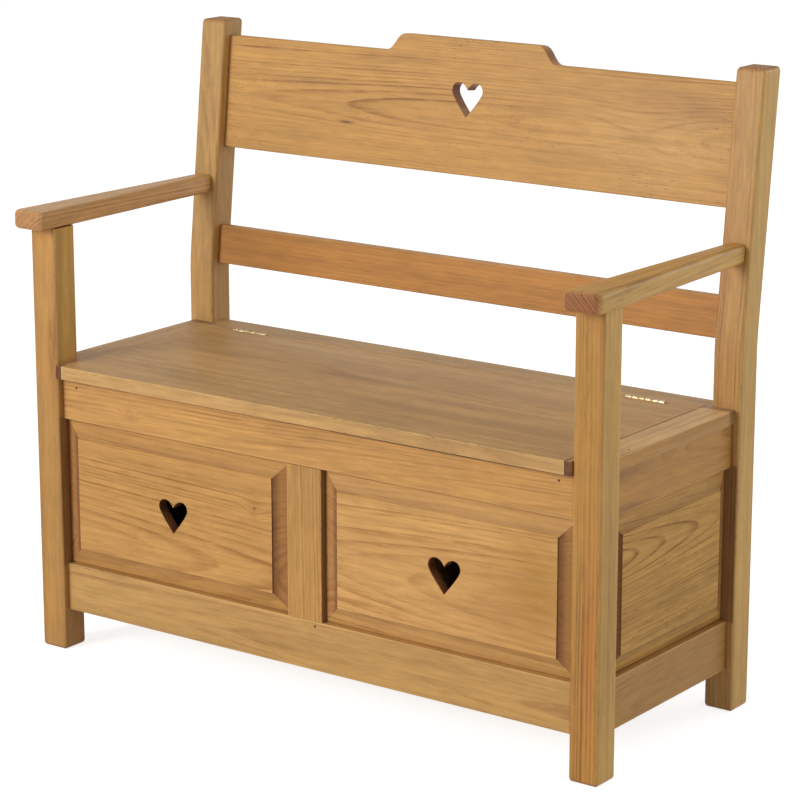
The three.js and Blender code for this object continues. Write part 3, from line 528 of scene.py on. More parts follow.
def pine(name, board, tone, pith, seed, **wishes):
    """One board's finish. The pith lies at (across, out) from the board's middle, in millimetres."""
    like = SimpleNamespace(**{**PLAIN_BOARD, **wishes}, tone=tone, pith=pith)
    material, tree = new_finish(name)
    grain = Grain(tree, board, seed)
    late, phase = growth_rings(grain, like)
    wood, shade = bare_wood(grain, like, late)
    pores = grain.dashes.ramp(0.7, 0.78) * grain.pore_groups.ramp(0.45, 0.65) * like.pores
    wood = mix_colours(pores, wood, TONES["pore"])
    wood, end = end_grain(grain, like, wood, phase)
    wood = stained(grain, like, wood, shade)
    wood, worn_and_highlit = worn_edges(grain, like, wood, end)

    height = late * 0.5 + grain.fibre * 0.35 - pores * 0.5 + grain.streak * 0.3
    relief = {"Strength": 0.5, "Distance": 0.25 * MM, "Height": height}
    look = {
        "Base Color": wood,
        "Roughness": late * 0.08 + (grain.fibre - 0.5) * 0.16 + end * 0.2 - worn_and_highlit * 0.06 + like.rough,
        "Normal": add_node(tree, "ShaderNodeBump", relief),
        "Specular IOR Level": like.shine,
        "Coat Weight": like.wax,
        "Coat Roughness": 0.3,
    }
    close_finish(add_node(tree, "ShaderNodeBsdfPrincipled", look))
    return material


# %% [markdown]
# ## Softened boards
# A hand-finished bench has no razor edges. Most parts have the right shape already, tenons and grooves
# included, so a copy of each is merged into one skin, its flat triangles are joined, and every long sharp
# edge is taken off by about half a millimetre. Weighted normals then keep the faces flat while the edges
# catch the light. Posts and arms are rounder than that. They are drawn as stacked outlines and joined to, or
# cut from, other solids, so a few helpers for solids come first.


# %% Solids and what is cut from them
def object_from(name, bm, material=None):
    mesh = bpy.data.meshes.new(name)
    bm.to_mesh(mesh)
    bm.free()
    mesh.materials.append(material)
    return new_object(name, mesh)


def evaluated(piece):
    return bpy.data.meshes.new_from_object(piece.evaluated_get(bpy.context.evaluated_depsgraph_get()))


def worked(bm, tool, operation):
    """A solid after a tool: their UNION, the DIFFERENCE or what they share, INTERSECT."""
    stock, cutter = object_from("stock", bm), object_from("cutter", tool)
    cut = stock.modifiers.new("cut", "BOOLEAN")
    cut.operation = operation
    cut.solver = "EXACT"
    cut.object = cutter
    shaped = bmesh.new()
    shaped.from_mesh(evaluated(stock))
    if not shaped.faces:
        raise ValueError(operation + " left nothing")
    for used in (stock, cutter):
        bpy.data.objects.remove(used)
    return shaped


def block(low, high):
    bm = bmesh.new()
    middle = (Vector(low) + Vector(high)) / 2
    size = Vector(high) - Vector(low)
    bmesh.ops.create_cube(bm, size=1, matrix=Matrix.Translation(middle) @ Matrix.Diagonal((*size, 1)))
    return bm


# %% Stacked outlines
def inset(outline, by):
    """The outline moved inwards. Its points run anticlockwise."""
    moved = []
    for i, here in enumerate(outline):
        came = (here - outline[i - 1]).normalized()
        goes = (outline[(i + 1) % len(outline)] - here).normalized()
        first = Vector((-came.y, came.x))
        middle = (first + Vector((-goes.y, goes.x))).normalized()
        moved.append(here + middle * (by / max(middle.dot(first), 0.3)))
    return moved


def stacked(outline_at, levels):
    """A solid from an outline at every level. A level is how far it is inset, its height and its set back."""
    bm = bmesh.new()
    rings = []
    for by, height, back in levels:
        rings.append([bm.verts.new((p.x, p.y + back, height)) for p in outline_at(by)])
    for low, high in zip(rings, rings[1:]):
        for j in range(len(low)):
            k = (j + 1) % len(low)
            bm.faces.new((low[j], low[k], high[k], high[j]))
    bm.faces.new(list(reversed(rings[0])))
    bm.faces.new(rings[-1])
    return bm


def quarter_round(radius, steps=6):
    """Insets and heights of an edge rounded from a bottom face up to the sides."""
    turns = [k / steps * math.pi / 2 for k in range(steps + 1)]
    return [(radius * (1 - math.sin(a)), radius * (1 - math.cos(a))) for a in turns]


# %% Copy a part and ease its edges
CREASE = 48  # degrees: a bend of more than this stays sharp
SQUARE_EDGE = 60  # degrees: an edge that turns by more than this is taken off


def settle_normals(piece, crease):
    """Rounded edges shade smoothly and flat faces stay flat."""
    mesh = piece.data
    mesh.shade_smooth()
    mesh.set_sharp_from_angle(angle=math.radians(crease))
    weigh = piece.modifiers.new("weigh", "WEIGHTED_NORMAL")
    weigh.keep_sharp = True
    weigh.weight = 100
    plain = evaluated(piece)
    piece.modifiers.clear()
    plain.name = mesh.name
    piece.data = plain


def stand_for(piece, body, slot, *parts, crease=CREASE):
    settle_normals(piece, crease)
    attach(piece, body)
    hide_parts(*parts)
    print(piece.name, "has", len(piece.data.polygons), "faces and rides on", body)


def rounded_off(bm, edges, size, segments):
    bmesh.ops.bevel(
        bm, geom=edges, offset=size, segments=segments, profile=0.5, affect="EDGES", clamp_overlap=True
    )


def eased(node, material, ease, shortest, segments, within):
    """A copy of the part in one skin with its long sharp edges eased, cut to what lies within a solid."""
    bm = bmesh.new()
    bm.from_mesh(nodes[node].data)
    bmesh.ops.remove_doubles(bm, verts=bm.verts, dist=0.002 * MM)
    if within is not None:
        bm = worked(bm, within, "INTERSECT")
    bmesh.ops.dissolve_limit(bm, angle_limit=math.radians(0.5), verts=bm.verts, edges=bm.edges)
    square = math.radians(SQUARE_EDGE)
    outer = [e for e in bm.edges if e.is_convex and e.calc_face_angle(0) > square]
    rounded_off(bm, [e for e in outer if e.calc_length() > shortest * MM], ease * MM, segments)
    return object_from(node + "_wood", bm, material)


# %% [markdown]
# Every board gets its finish and its body from one call. The call says which way the board lies:
# its grain and the direction across its best face. The back rails lean with the rear posts, so theirs do too.

# %% Choose the finish and the place of a board
SLOT_OF = {entry["node"]: entry["material_slot"] for entry in frame["record"]["subparts"]}
BODY_OF = {n: body for body, members in frame["record"]["behaviour"]["bodies"].items() for n in members}
REAR_POST_TOP, BEND, BACK_LEAN = 902 * MM, 530 * MM, 40.7 * MM  # above the bend a rear post leans back so far
LEAN = math.atan2(BACK_LEAN, REAR_POST_TOP - BEND)
UP_THE_BACK = Vector((0, math.sin(LEAN), math.cos(LEAN)))
LYING = {
    "front": (RIGHT, UP), "rear": (-RIGHT, UP), "right": (BACK, UP), "left": (-BACK, UP),
    "top": (RIGHT, BACK), "batten": (BACK, RIGHT), "post": (UP, -RIGHT), "arm": (BACK, -RIGHT),
    "back": (RIGHT, UP_THE_BACK)
}
print("the back leans by", round(math.degrees(LEAN), 2), "degrees")


def wooden(
    node, lies, tone, pith, seed, ease=0.6, shortest=7, segments=2, crease=CREASE, within=None, **wishes
):
    """A softened copy of a wooden part, in its own board's finish. Only edges over the shortest length are
    eased, and what lies outside the within solid is cut away."""
    finish = pine(node, Board(node, *LYING[lies]), tone, pith, seed, **wishes)
    piece = eased(node, finish, ease, shortest, segments, within)
    stand_for(piece, BODY_OF[node], SLOT_OF[node], node, crease=crease)


# %% [markdown]
# ## Posts
# Each post is sawn from a thick plank. The rings cross the right front post edge on, so its face shows
# straight lines, while the left one is cut nearer the flat and shows a wide flame. Years of use have rounded
# the long edges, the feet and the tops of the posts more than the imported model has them, so each is cut to a
# rounder post. The flat faces stay where they were.

# %% The rounder shape of a post
ROW_SHIFT = -205.0765 * MM  # the front of the posts in the model's frame
POST, POST_ROUND, FOOT_ROUND = 45 * MM, 4.5 * MM, 6.5 * MM
POST_X, FRONT_POST_TOP = 468.5 * MM, 655 * MM
FRONT_POST_Y, REAR_POST_Y = 22.5 * MM + ROW_SHIFT, 375.5 * MM + ROW_SHIFT
BEND_BLEND = 24 * MM  # half the length of the curve in the bend
SLACK = 0.05 * MM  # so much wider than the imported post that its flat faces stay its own
print("posts", round(POST / MM, 1), "mm square")


def set_back(height):
    """How far a rear post has leant back: not at all, then along a short curve, then straight."""
    if height < BEND - BEND_BLEND:
        return 0.0
    if height < BEND + BEND_BLEND:
        return math.tan(LEAN) * (height - BEND + BEND_BLEND) ** 2 / (4 * BEND_BLEND)
    return math.tan(LEAN) * (height - BEND)


def rounded_square(x, y, side, radius, steps=7):
    points = []
    for quarter, (right, up) in enumerate(((1, 1), (-1, 1), (-1, -1), (1, -1))):
        centre = Vector((x + right * (side / 2 - radius), y + up * (side / 2 - radius)))
        for k in range(steps + 1):
            turn = (quarter + k / steps) * math.pi / 2
            points.append(centre + Vector((math.cos(turn), math.sin(turn))) * radius)
    return points


def post_solid(sign, y, levels):
    def section(by):
        return rounded_square(POST_X * sign, y, POST + (SLACK - by) * 2, max(POST_ROUND - by, MM))

    return stacked(section, levels)


FOOT = [(by, height - SLACK) for by, height in quarter_round(FOOT_ROUND)]


def round_front_post(sign):
    return post_solid(sign, FRONT_POST_Y, [(*level, 0) for level in FOOT + [(0, FRONT_POST_TOP + POST)]])


def round_rear_post(sign):
    bend = [(0, BEND + BEND_BLEND * k / 4) for k in range(-4, 5)]
    top = [(by, REAR_POST_TOP + SLACK - height) for by, height in reversed(quarter_round(FOOT_ROUND))]
    levels = [(by, height, set_back(height)) for by, height in FOOT + bend + top]
    return post_solid(sign, REAR_POST_Y, levels)


# %% Front posts
# Tints on the posts: the inner faces beside the panels get painted shade, and the faces that look right are
# painted lighter and greener, as light
beside_left_panel = (RIGHT, 128, 362, 6, "glaze", 0.62)
beside_side_panel = (-BACK, 128, 362, 6, "glaze", 0.62)
painted_light_right = (RIGHT, -20, 940, 6, "painted_side_light", 0.8)
paler_above_seat = (RIGHT, 430, 700, 20, "painted_side_light", 0.9)
wooden(
    "front_post_left", "post", (174, 127, 66), (-14, -46), seed=2.2, within=round_front_post(-1),
    ring=8.5, sway=11, figure=0.6, tints=(beside_left_panel, paler_above_seat)
)
wooden(
    "front_post_right", "post", (177, 129, 61), (-62, 20), seed=5.1, within=round_front_post(1),
    ring=6.4, sway=3, figure=0.95, tints=(painted_light_right,),
    patches=((-140, -7, 150, 8, 0.45, "russet"), (-250, 14, 90, 6, 0.3, "russet"))
)

# %% Rear posts
wooden(
    "rear_post_left", "post", (178, 137, 80), (30, 70), seed=8.4, within=round_rear_post(-1),
    ring=7.5, sway=5, figure=0.4, end=0.3, thirst=0.2
)
wooden(
    "rear_post_right", "post", (185, 141, 83), (55, 30), seed=11.6, within=round_rear_post(1),
    ring=5, sway=5, figure=0.8, end=0.4, thirst=0.2, tints=(painted_light_right, beside_side_panel),
    patches=((120, 14, 160, 8, 0.4, "end"), (-60, 8, 60, 10, 0.3, "end"))
)

# %% [markdown]
# ## Front frame
# Rails run the full width and the muntin stands between them. Where a rail meets a post the finish is
# darker, wax with painted shade, and a painted shadow line runs along the top rail below the overhang of the lid.

# %% Front frame
TENON = 16  # millimetres of every rail's end that are hidden in a post
# a painted shadow line on the top rail, just below the overhang of the lid
painted_shadow_below_lid = (210, 27.7, 270, 1.7, 2.0, "pore")
wooden(
    "front_top_rail", "front", (192, 142, 78), (-34, -52), seed=3.3, tuck=TENON,
    ring=3.6, taper=26, figure=0.7, knots=((-318, -8, 9, 9),),
    patches=(painted_shadow_below_lid, (-318, -10, 13, 6, 0.45, "end"))
)
wooden(
    "front_bottom_rail", "front", (185, 142, 82), (-6, -60), seed=14.2, tuck=TENON,
    ring=4.5, taper=14, figure=0.6
)
# the muntin's face that looks right, deep in the recess, gets painted shade
wooden(
    "front_muntin", "post", (184, 137, 74), (-64, -22), seed=6.6,
    ring=4, taper=14, sway=6, figure=0.62, tints=((RIGHT, 100, 400, 6, "glaze", 0.62),)
)

# %% [markdown]
# ## Raised panels
# A panel is a board with its four borders sloped down to a thin tongue. The slopes at its two ends cut
# across the grain, and such wood drinks more stain, so they are darker than the slopes above and below. The
# walls of the hearts that look right are painted darker still, as shade, and the upper slope is painted a
# little darker against the light it catches. Wax on the panels has gone dull.

# %% Raised panels
panel = {"ease": 0.9, "shortest": 1.5, "segments": 6, "crease": 16, "thirst": 0.68, "shine": 0.1, "wax": 0.0}
# the walls of the hearts that look right are painted dark, as shade
heart_walls = (RIGHT, -450, 450, 1, "pore", 0.9)
# the upper slope is painted a little darker, to take back the light it catches facing up
upper_slope = (0, 97, 500, 15, 0.3, "umber")
knot_in_left_panel = (
    (149, 30, 9, 12, 0.4, "end"), (150, 35, 2.4, 1.6, 2.2, "pore"), (128, 8, 16, 9, 0.35, "end")
)
dark_grain_in_right_panel = (
    (95, -40, 75, 26, 0.45, "end"), (60, 12, 90, 14, 0.25, "end"), (-120, 20, 60, 30, 0.15, "end"),
    (150, 0, 50, 80, 0.9, "umber")
)
wooden(
    "front_panel_left", "front", (192, 144, 84), (-60, -70), seed=21.4, ring=5.5, taper=-40, sway=8,
    figure=0.7, knots=((149, 32, 13, 11),), patches=(upper_slope, *knot_in_left_panel),
    raised=0.75, tints=(heart_walls,), **panel
)
wooden(
    "front_panel_right", "front", (204, 156, 95), (-16, -52), seed=24.9, ring=7, taper=60, sway=9,
    figure=0.65, patches=(upper_slope, *dark_grain_in_right_panel),
    raised=0.75, tints=(heart_walls,), **panel
)
wooden(
    "side_panel_right", "right", (190, 145, 80), (50, -34), seed=31.2, ring=4.2, taper=-50,
    figure=1.3, pores=0.9, crisp=0.62, streaks=1.1, raised=0.8, **panel
)
wooden(
    "side_panel_left", "left", (190, 144, 80), (-20, -50), seed=33.8, ring=5.2, taper=50,
    figure=0.5, raised=0.4, **panel
)

# %% Side frames
handled = ((-130, 22, 60, 8, 0.5, "glaze"), (-110, -26, 46, 7, 0.45, "glaze"))
for hand, seed in (("right", 41.3), ("left", 44.9)):
    wooden(
        "side_top_rail_" + hand, hand, (177, 127, 60), (24, -50), seed=seed, tuck=TENON,
        ring=3, taper=40, figure=0.65, patches=handled
    )
    wooden(
        "side_bottom_rail_" + hand, hand, (169, 124, 61), (-18, -60), seed=seed + 1, tuck=TENON,
        ring=3.2, taper=30, figure=0.65
    )

# %% Rear frame
rear_rails = (
    ("top", (194, 148, 84), (12, -50), 47.7, 5.6, 20), ("bottom", (190, 144, 82), (-20, -56), 49.1, 5.2, 24)
)
for place, tone, pith, seed, ring, taper in rear_rails:
    node = f"rear_{place}_rail"
    wooden(node, "rear", tone, pith, seed=seed, tuck=TENON, ring=ring, taper=taper, figure=0.45)
bare = {"figure": 0.4, "wax": 0.0}
wooden("rear_panel", "rear", (204, 164, 112), (0, -70), seed=52.6, ring=7, taper=50, staves=118, **bare)

# %% [markdown]
# ## Leaning back
# The two back rails share the lean of the posts, so their grain is measured along it. The crest rail is the
# board that everyone looks at: fine rings in its upper half, a knot that swirls them, and marks of use.

# %% Leaning back
crest_marks = (
    (-215, -40, 14, 2.4, 0.9, "pore"), (330, 38, 70, 26, 0.3, "end"), (390, 30, 40, 18, 0.35, "glaze"),
    (-290, 14, 90, 8, 0.3, "glaze"), (120, 8, 60, 9, 0.25, "glaze"), (-120, 62, 80, 8, 0.25, "glaze"),
    (340, -25, 130, 60, 0.3, "pale")
)
# the walls of the crest's heart that look right get painted shade
crest_heart_walls = (RIGHT, -450, 450, 1, "pore", 0.45)
wooden(
    "crest_rail", "back", (192, 143, 77), (-12, -66), seed=61.5, tuck=TENON, ease=0.9, shortest=1.5,
    ring=2.7, taper=10, sway=3.5, figure=0.95, pores=1.0, crisp=0.45, knots=((300, -4, 52, 6),),
    fade=(-60, -10, 0.3), patches=crest_marks, tints=(crest_heart_walls,)
)
wooden(
    "lower_back_rail", "back", (183, 126, 60), (150, -60), seed=64.3, tuck=TENON,
    ring=5.4, sway=9, figure=0.35
)

# %% [markdown]
# ## Seat
# The lid is glued up from wide staves, and their figures don't meet. Years of wax and use have greyed it.
# The fixed strips beside it have darker front ends, and their outer edges match the rails below.

# %% Seat
seat = {
    "shine": 0.22, "rough": 0.55, "olive": 0.4, "streaks": 0.7, "clouds": 0.7, "smudge": 0.28, "end": 0.55
}
worn_grey = (
    (-290, 42, 80, 15, 0.5, "glaze"), (-40, 34, 110, 12, 0.4, "glaze"), (170, -10, 120, 13, 0.35, "glaze"),
    (-150, 90, 200, 30, 0.2, "glaze"), (260, 70, 120, 26, 0.22, "glaze"),
    (150, -166, 30, 2, 0.22, "glaze"), (240, -166, 40, 2, 0.3, "glaze"), (350, -166, 35, 2, 0.3, "glaze")
)
wooden(
    "seat_lid", "top", (192, 150, 93), (20, -46), seed=71.9,
    ring=6, taper=36, sway=10, figure=0.32, staves=112, pores=0.8, patches=worn_grey, **seat
)
wooden("seat_rear_board", "top", (188, 148, 95), (40, -60), seed=74.5, ring=5, figure=0.4, **seat)

# %% Seat strips and battens
dark_end = (-BACK, -300, 100, 6, "glaze", 0.75)
strips = (("right", RIGHT, (217, 176, 119), 76.8), ("left", -RIGHT, (190, 150, 100), 79.2))
for hand, outwards, tone, seed in strips:
    like_the_rail = (outwards, -400, 400, 6, "umber", 1.0)
    wooden(
        "seat_strip_" + hand, "arm", tone, (30, -50), seed=seed, tuck=10,
        ring=5, figure=0.4, tints=(dark_end, like_the_rail), **seat
    )
for hand, seed in (("left", 85.0), ("right", 86.0)):
    wooden("lid_batten_" + hand, "batten", (206, 168, 116), (14, 60), seed=seed, ring=5, wax=0.0)

# %% Chest floor and cleats
wooden("box_floor", "top", (204, 166, 116), (0, -80), seed=91.3, ring=8, taper=40, staves=96, **bare)
for k, side in enumerate(("front", "rear", "left", "right")):
    wooden("floor_cleat_" + side, side, (200, 162, 112), (20, -50), seed=94.0 + 2.3 * k, ring=5, wax=0.0)

# %% [markdown]
# ## Arms
# An arm tapers in plan, and all its edges are well rounded for the hand. It is drawn as an outline seen from
# above and built up in rings, each a little wider than the last, which gives a rounder edge than the packed
# model has. Then it is cut to the slope of the rear post, and the mortise and the tenon are added.

# %% Arm outline
ARM_LOW, ARM_THICK, ARM_EASE, ARM_CORNER = 639 * MM, 28 * MM, 7 * MM, 12 * MM
ARM_FRONT, BACK_FACE = -28 * MM + ROW_SHIFT, 353 * MM + ROW_SHIFT  # its front end, the rear post's front face
FRONT_OUTER, FRONT_INNER, REAR_OUTER, REAR_INNER = 500 * MM, 443 * MM, 483.5 * MM, 455.5 * MM  # its corners
AT_THE_ARM = (ARM_LOW + ARM_THICK / 2 - BEND) * math.tan(LEAN)  # how far the rear post has leant back there
shoulder = BACK_FACE + AT_THE_ARM
print("arms", round((shoulder - ARM_FRONT) / MM, 1), "mm long")


def rounded(corner, coming_from, going_to, steps=8):
    """Points round a corner, from one side of it to the other."""
    start, end = corner + coming_from * ARM_CORNER, corner + going_to * ARM_CORNER
    shares = [k / steps for k in range(steps + 1)]
    return [start * (1 - t) ** 2 + corner * (2 * t * (1 - t)) + end * t**2 for t in shares]


def arm_outline():
    """The right arm seen from above, a little longer than it is once cut to the post."""
    length = shoulder + 10 * MM - ARM_FRONT
    right_corner, left_corner = Vector((FRONT_OUTER, ARM_FRONT)), Vector((FRONT_INNER, ARM_FRONT))
    outer = Vector((REAR_OUTER - FRONT_OUTER, shoulder - ARM_FRONT)).normalized()
    inner = Vector((REAR_INNER - FRONT_INNER, shoulder - ARM_FRONT)).normalized()
    points = [left_corner + inner * length]
    points += rounded(left_corner, inner, Vector((1, 0)))
    points += rounded(right_corner, Vector((-1, 0)), outer)
    points.append(right_corner + outer * length)
    return points


# %% Cut, tenon and mortise of an arm
FIT = 0.3 * MM
TENON_LOW, TENON_HIGH = Vector((7, 9, 7.5)) * MM, Vector((7, 16, 7.5)) * MM  # its reach from the shoulder
MORTISE_LOW, MORTISE_HIGH = Vector((12.8, 12.8, 5)) * MM, Vector((12.8, 12.8, 16.3)) * MM
cut_way = Vector((0, math.cos(LEAN), -math.sin(LEAN)))
cut_at = Vector((0, BACK_FACE, BEND)) - FIT * cut_way
print("the mortises are", round(MORTISE_HIGH.z / MM, 1), "mm deep")


def cut_to_the_post(bm):
    """Cuts the rear end to the slope of the post, and eases the rim of the cut."""
    whole = bm.verts[:] + bm.edges[:] + bm.faces[:]
    found = bmesh.ops.bisect_plane(bm, geom=whole, plane_co=cut_at, plane_no=cut_way, clear_outer=True)
    rim = [e for e in found["geom_cut"] if isinstance(e, bmesh.types.BMEdge)]
    bmesh.ops.contextual_create(bm, geom=rim)
    square = math.radians(SQUARE_EDGE)
    rounded_off(bm, [e for e in bm.edges if e.calc_face_angle(0) > square], 1.5 * MM, 3)


def rounded_arm(side, sign, tone, pith, seed, end, tints=()):
    climb = quarter_round(ARM_EASE)
    levels = [(by, ARM_LOW + height, 0) for by, height in climb]
    levels += [(by, ARM_LOW + ARM_THICK - height, 0) for by, height in reversed(climb)]
    bm = stacked(lambda by: inset(arm_outline(), by), levels)
    cut_to_the_post(bm)
    if sign < 0:
        bmesh.ops.scale(bm, vec=(-1, 1, 1), verts=bm.verts)
        bmesh.ops.reverse_faces(bm, faces=bm.faces)
    tenon = Vector(((REAR_OUTER + REAR_INNER) / 2 * sign, cut_at.y + AT_THE_ARM, ARM_LOW + ARM_THICK / 2))
    bm = worked(bm, block(tenon - TENON_LOW, tenon + TENON_HIGH), "UNION")
    mortise = Vector((POST_X * sign, FRONT_POST_Y, ARM_LOW))
    bm = worked(bm, block(mortise - MORTISE_LOW, mortise + MORTISE_HIGH), "DIFFERENCE")
    node = "arm_" + side
    finish = pine(
        node, Board(node, *LYING["arm"]), tone, pith, seed,
        ring=4.6, sway=3, figure=0.75, wax=0.08, end=end, thirst=end * 0.6, tints=tints
    )
    stand_for(object_from(node + "_wood", bm, finish), "frame", SLOT_OF[node], node)


# %% Arms
# the right arm's outer side is painted lighter and greener, as light
paler_outside = (RIGHT, -300, 200, 6, "painted_side_light", 0.7)
rounded_arm("right", 1, (196, 147, 74), (90, -90), seed=101.5, end=0.85, tints=(paler_outside,))
rounded_arm("left", -1, (203, 156, 98), (-70, -80), seed=104.7, end=0.35)

# %% [markdown]
# ## Metal finishes
# The hinges are plain brass, dulled by hand in the low places and brighter where they rub. The brads and
# their heads have gone nearly black.


# %% Brass and dark steel
def metal(name, bright, dull, rough, scratch):
    """Metal with clouded tarnish and fine rubbed lines."""
    material, tree = new_finish(name)
    place = add_node(tree, "ShaderNodeTexCoord", {}, "Object")
    tarnish = noise_at(place, (160, 160, 160), 3.4, 3.0, 0.6)
    rubs = noise_at(place, (90, 1400, 1400), 8.8, 1.0)
    colour = mix_colours(tarnish.ramp(0.38, 0.62), paint(*bright), paint(*dull))
    relief = {"Strength": 0.4, "Distance": 0.05 * MM, "Height": rubs + tarnish * 0.5}
    look = {
        "Base Color": shaded(colour, (rubs - 0.5) * scratch + 1.0),
        "Metallic": 1.0,
        "Roughness": tarnish * 0.25 + (rubs - 0.5) * 0.15 + rough,
        "Normal": add_node(tree, "ShaderNodeBump", relief),
    }
    close_finish(add_node(tree, "ShaderNodeBsdfPrincipled", look))
    return material


brass = metal("old_brass", bright=(214, 198, 160), dull=(168, 138, 92), rough=0.3, scratch=0.4)
dark_steel = metal("dark_steel", bright=(74, 60, 50), dull=(40, 30, 24), rough=0.5, scratch=0.2)
brads = ("rail_brad_left", "rail_brad_right", "muntin_brad", "strip_brad_left", "strip_brad_right")
pins = ("hinge_pin_left", "hinge_pin_right")
for names, finish in ((brads, dark_steel), (pins, brass)):
    for name in names:
        for slot in nodes[name].material_slots:
            slot.material = finish
    print(finish.name, "on", *names)

# %% [markdown]
# ## Hinges
# Everything on a butt hinge repeats: three knuckles on each leaf, the gaps between them, and three screws.
# Geometry Nodes suits that. Each tree below is told its sizes through named inputs, and works on a mesh of
# loose points, one in the middle of each hinge. The leaf is a plate joined to its own knuckles, and then it
# loses the room for the other leaf's knuckles, the bore for the pin and the countersunk holes.


# %% Open and close a tree
def tree_with(name, sizes):
    """A new geometry tree whose named inputs hold the sizes."""
    tree = bpy.data.node_groups.new(name, "GeometryNodeTree")
    tree.interface.new_socket("Geometry", in_out="INPUT", socket_type="NodeSocketGeometry")
    tree.interface.new_socket("Geometry", in_out="OUTPUT", socket_type="NodeSocketGeometry")
    for label, value in sizes.items():
        kind = "NodeSocketInt" if isinstance(value, int) else "NodeSocketFloat"
        tree.interface.new_socket(label, in_out="INPUT", socket_type=kind)
    given = tree.nodes.new("NodeGroupInput")
    return tree, {socket.name: Wire(tree, socket) for socket in given.outputs if socket.name}


def close_tree(tree, points, geometry, material):
    """Puts the shape on every point and ends the tree."""
    copies = add_node(tree, "GeometryNodeInstanceOnPoints", {"Points": points, "Instance": geometry})
    real = add_node(tree, "GeometryNodeRealizeInstances", {"Geometry": copies})
    painted = add_node(tree, "GeometryNodeSetMaterial", {"Geometry": real, "Material": material})
    tree.links.new(painted.socket, tree.nodes.new("NodeGroupOutput").inputs[0])
    print(tree.name, "has", len(tree.nodes), "nodes")


def grown_from(name, points, tree, sizes):
    """The plain mesh that a tree makes from the points."""
    mesh = bpy.data.meshes.new(name)
    mesh.from_pydata(points, [], [])
    piece = new_object(name, mesh)
    grow = piece.modifiers.new("grow", "NODES")
    grow.node_group = tree
    for item in tree.interface.items_tree:
        if item.in_out == "INPUT" and item.name in sizes:
            grow[item.identifier] = sizes[item.name]
    plain = evaluated(piece)
    piece.modifiers.clear()
    piece.data = plain
    return piece


# %% Shapes in a tree
def vector_of(x=0.0, y=0.0, z=0.0):
    return add_node(tree_of(x, y, z), "ShaderNodeCombineXYZ", {"X": x, "Y": y, "Z": z})


def moved(geometry, shift, turn=(0, 0, 0)):
    values = {"Geometry": geometry, "Translation": shift, "Rotation": turn}
    return add_node(geometry.tree, "GeometryNodeTransform", values)


def row_of(geometry, count, start, step):
    """Copies of a shape in a row, from one place onwards by the same step."""
    tree = geometry.tree
    values = {"Count": count, "Start Location": start, "Offset": step}
    line = add_node(tree, "GeometryNodeMeshLine", values, mode="OFFSET")
    copies = add_node(tree, "GeometryNodeInstanceOnPoints", {"Points": line, "Instance": geometry})
    return add_node(tree, "GeometryNodeRealizeInstances", {"Geometry": copies})


def joined(*shapes):
    return add_node(shapes[0].tree, "GeometryNodeJoinGeometry", {0: list(shapes)})


def combine(operation, *shapes):
    """Union of shapes, or the first one less the others."""
    values = {"Mesh 2": list(shapes)}
    if operation == "DIFFERENCE":
        values = {"Mesh 1": shapes[0], "Mesh 2": list(shapes[1:])}
    return add_node(shapes[0].tree, "GeometryNodeMeshBoolean", values, operation=operation, solver="EXACT")


def cone(bottom, top, depth, sides=20):
    """A cone that stands on the origin."""
    values = {"Vertices": sides, "Radius Bottom": bottom, "Radius Top": top, "Depth": depth}
    return add_node(bottom.tree, "GeometryNodeMeshCone", values)


def bar(radius, length, sides=28):
    """A bar along X with slightly domed ends, made of a middle and two short cones."""
    tree, ease = radius.tree, radius * 0.16
    middle_values = {"Vertices": sides, "Radius": radius, "Depth": length - ease * 2}
    middle = add_node(tree, "GeometryNodeMeshCylinder", middle_values, fill_type="NONE")
    tip = cone(radius, radius - ease, ease, sides)
    bottom = Wire(tree, tip.socket.node.outputs["Bottom"])
    tip_values = {"Geometry": tip, "Selection": bottom}
    open_tip = add_node(tree, "GeometryNodeDeleteGeometry", tip_values, domain="FACE")
    up = moved(open_tip, vector_of(0, 0, length / 2 - ease))
    down = moved(open_tip, vector_of(0, 0, length / -2 + ease), (math.pi, 0, 0))
    skin_values = {"Geometry": joined(middle, up, down), "Distance": 0.002 * MM}
    skin = add_node(tree, "GeometryNodeMergeByDistance", skin_values)
    return moved(skin, (0, 0, 0), (0, math.pi / 2, 0))


# %% One leaf of a hinge
SCREW_PLACES = {
    "Side": 1.0,
    "Inner Face": 1.3 * MM,
    "Screws": 3,
    "Screw Pitch": 22 * MM,
    "Screw Drop": 9.85 * MM,
}
HINGE_SIZES = {
    "Length": 64 * MM,
    "Knuckles": 3,
    "Knuckle Radius": 3 * MM,
    "Gap": 0.5 * MM,
    "Bore": 1.35 * MM,
    "First Own": 0.0,
    "First Other": 0.0,
    "Thickness": 1.5 * MM,
    "Depth": 17 * MM,
    "Head Radius": 2.9 * MM,
    "Shank Radius": 1.5 * MM,
    **SCREW_PLACES,
}
ROOM = 1.12  # the room for a knuckle is this much wider than the knuckle


def screw_row(size, screw):
    """A screw shape standing on Z, turned into the leaf's face and repeated along it."""
    pitch = size["Screw Pitch"]
    laid = moved(screw, (0, 0, 0), vector_of(size["Side"] * (math.pi / -2)))
    first = vector_of(pitch * (size["Screws"] - 1) * -0.5)
    row = row_of(laid, size["Screws"], first, vector_of(pitch))
    return moved(row, vector_of(0, size["Side"] * size["Inner Face"], size["Screw Drop"] * -1))


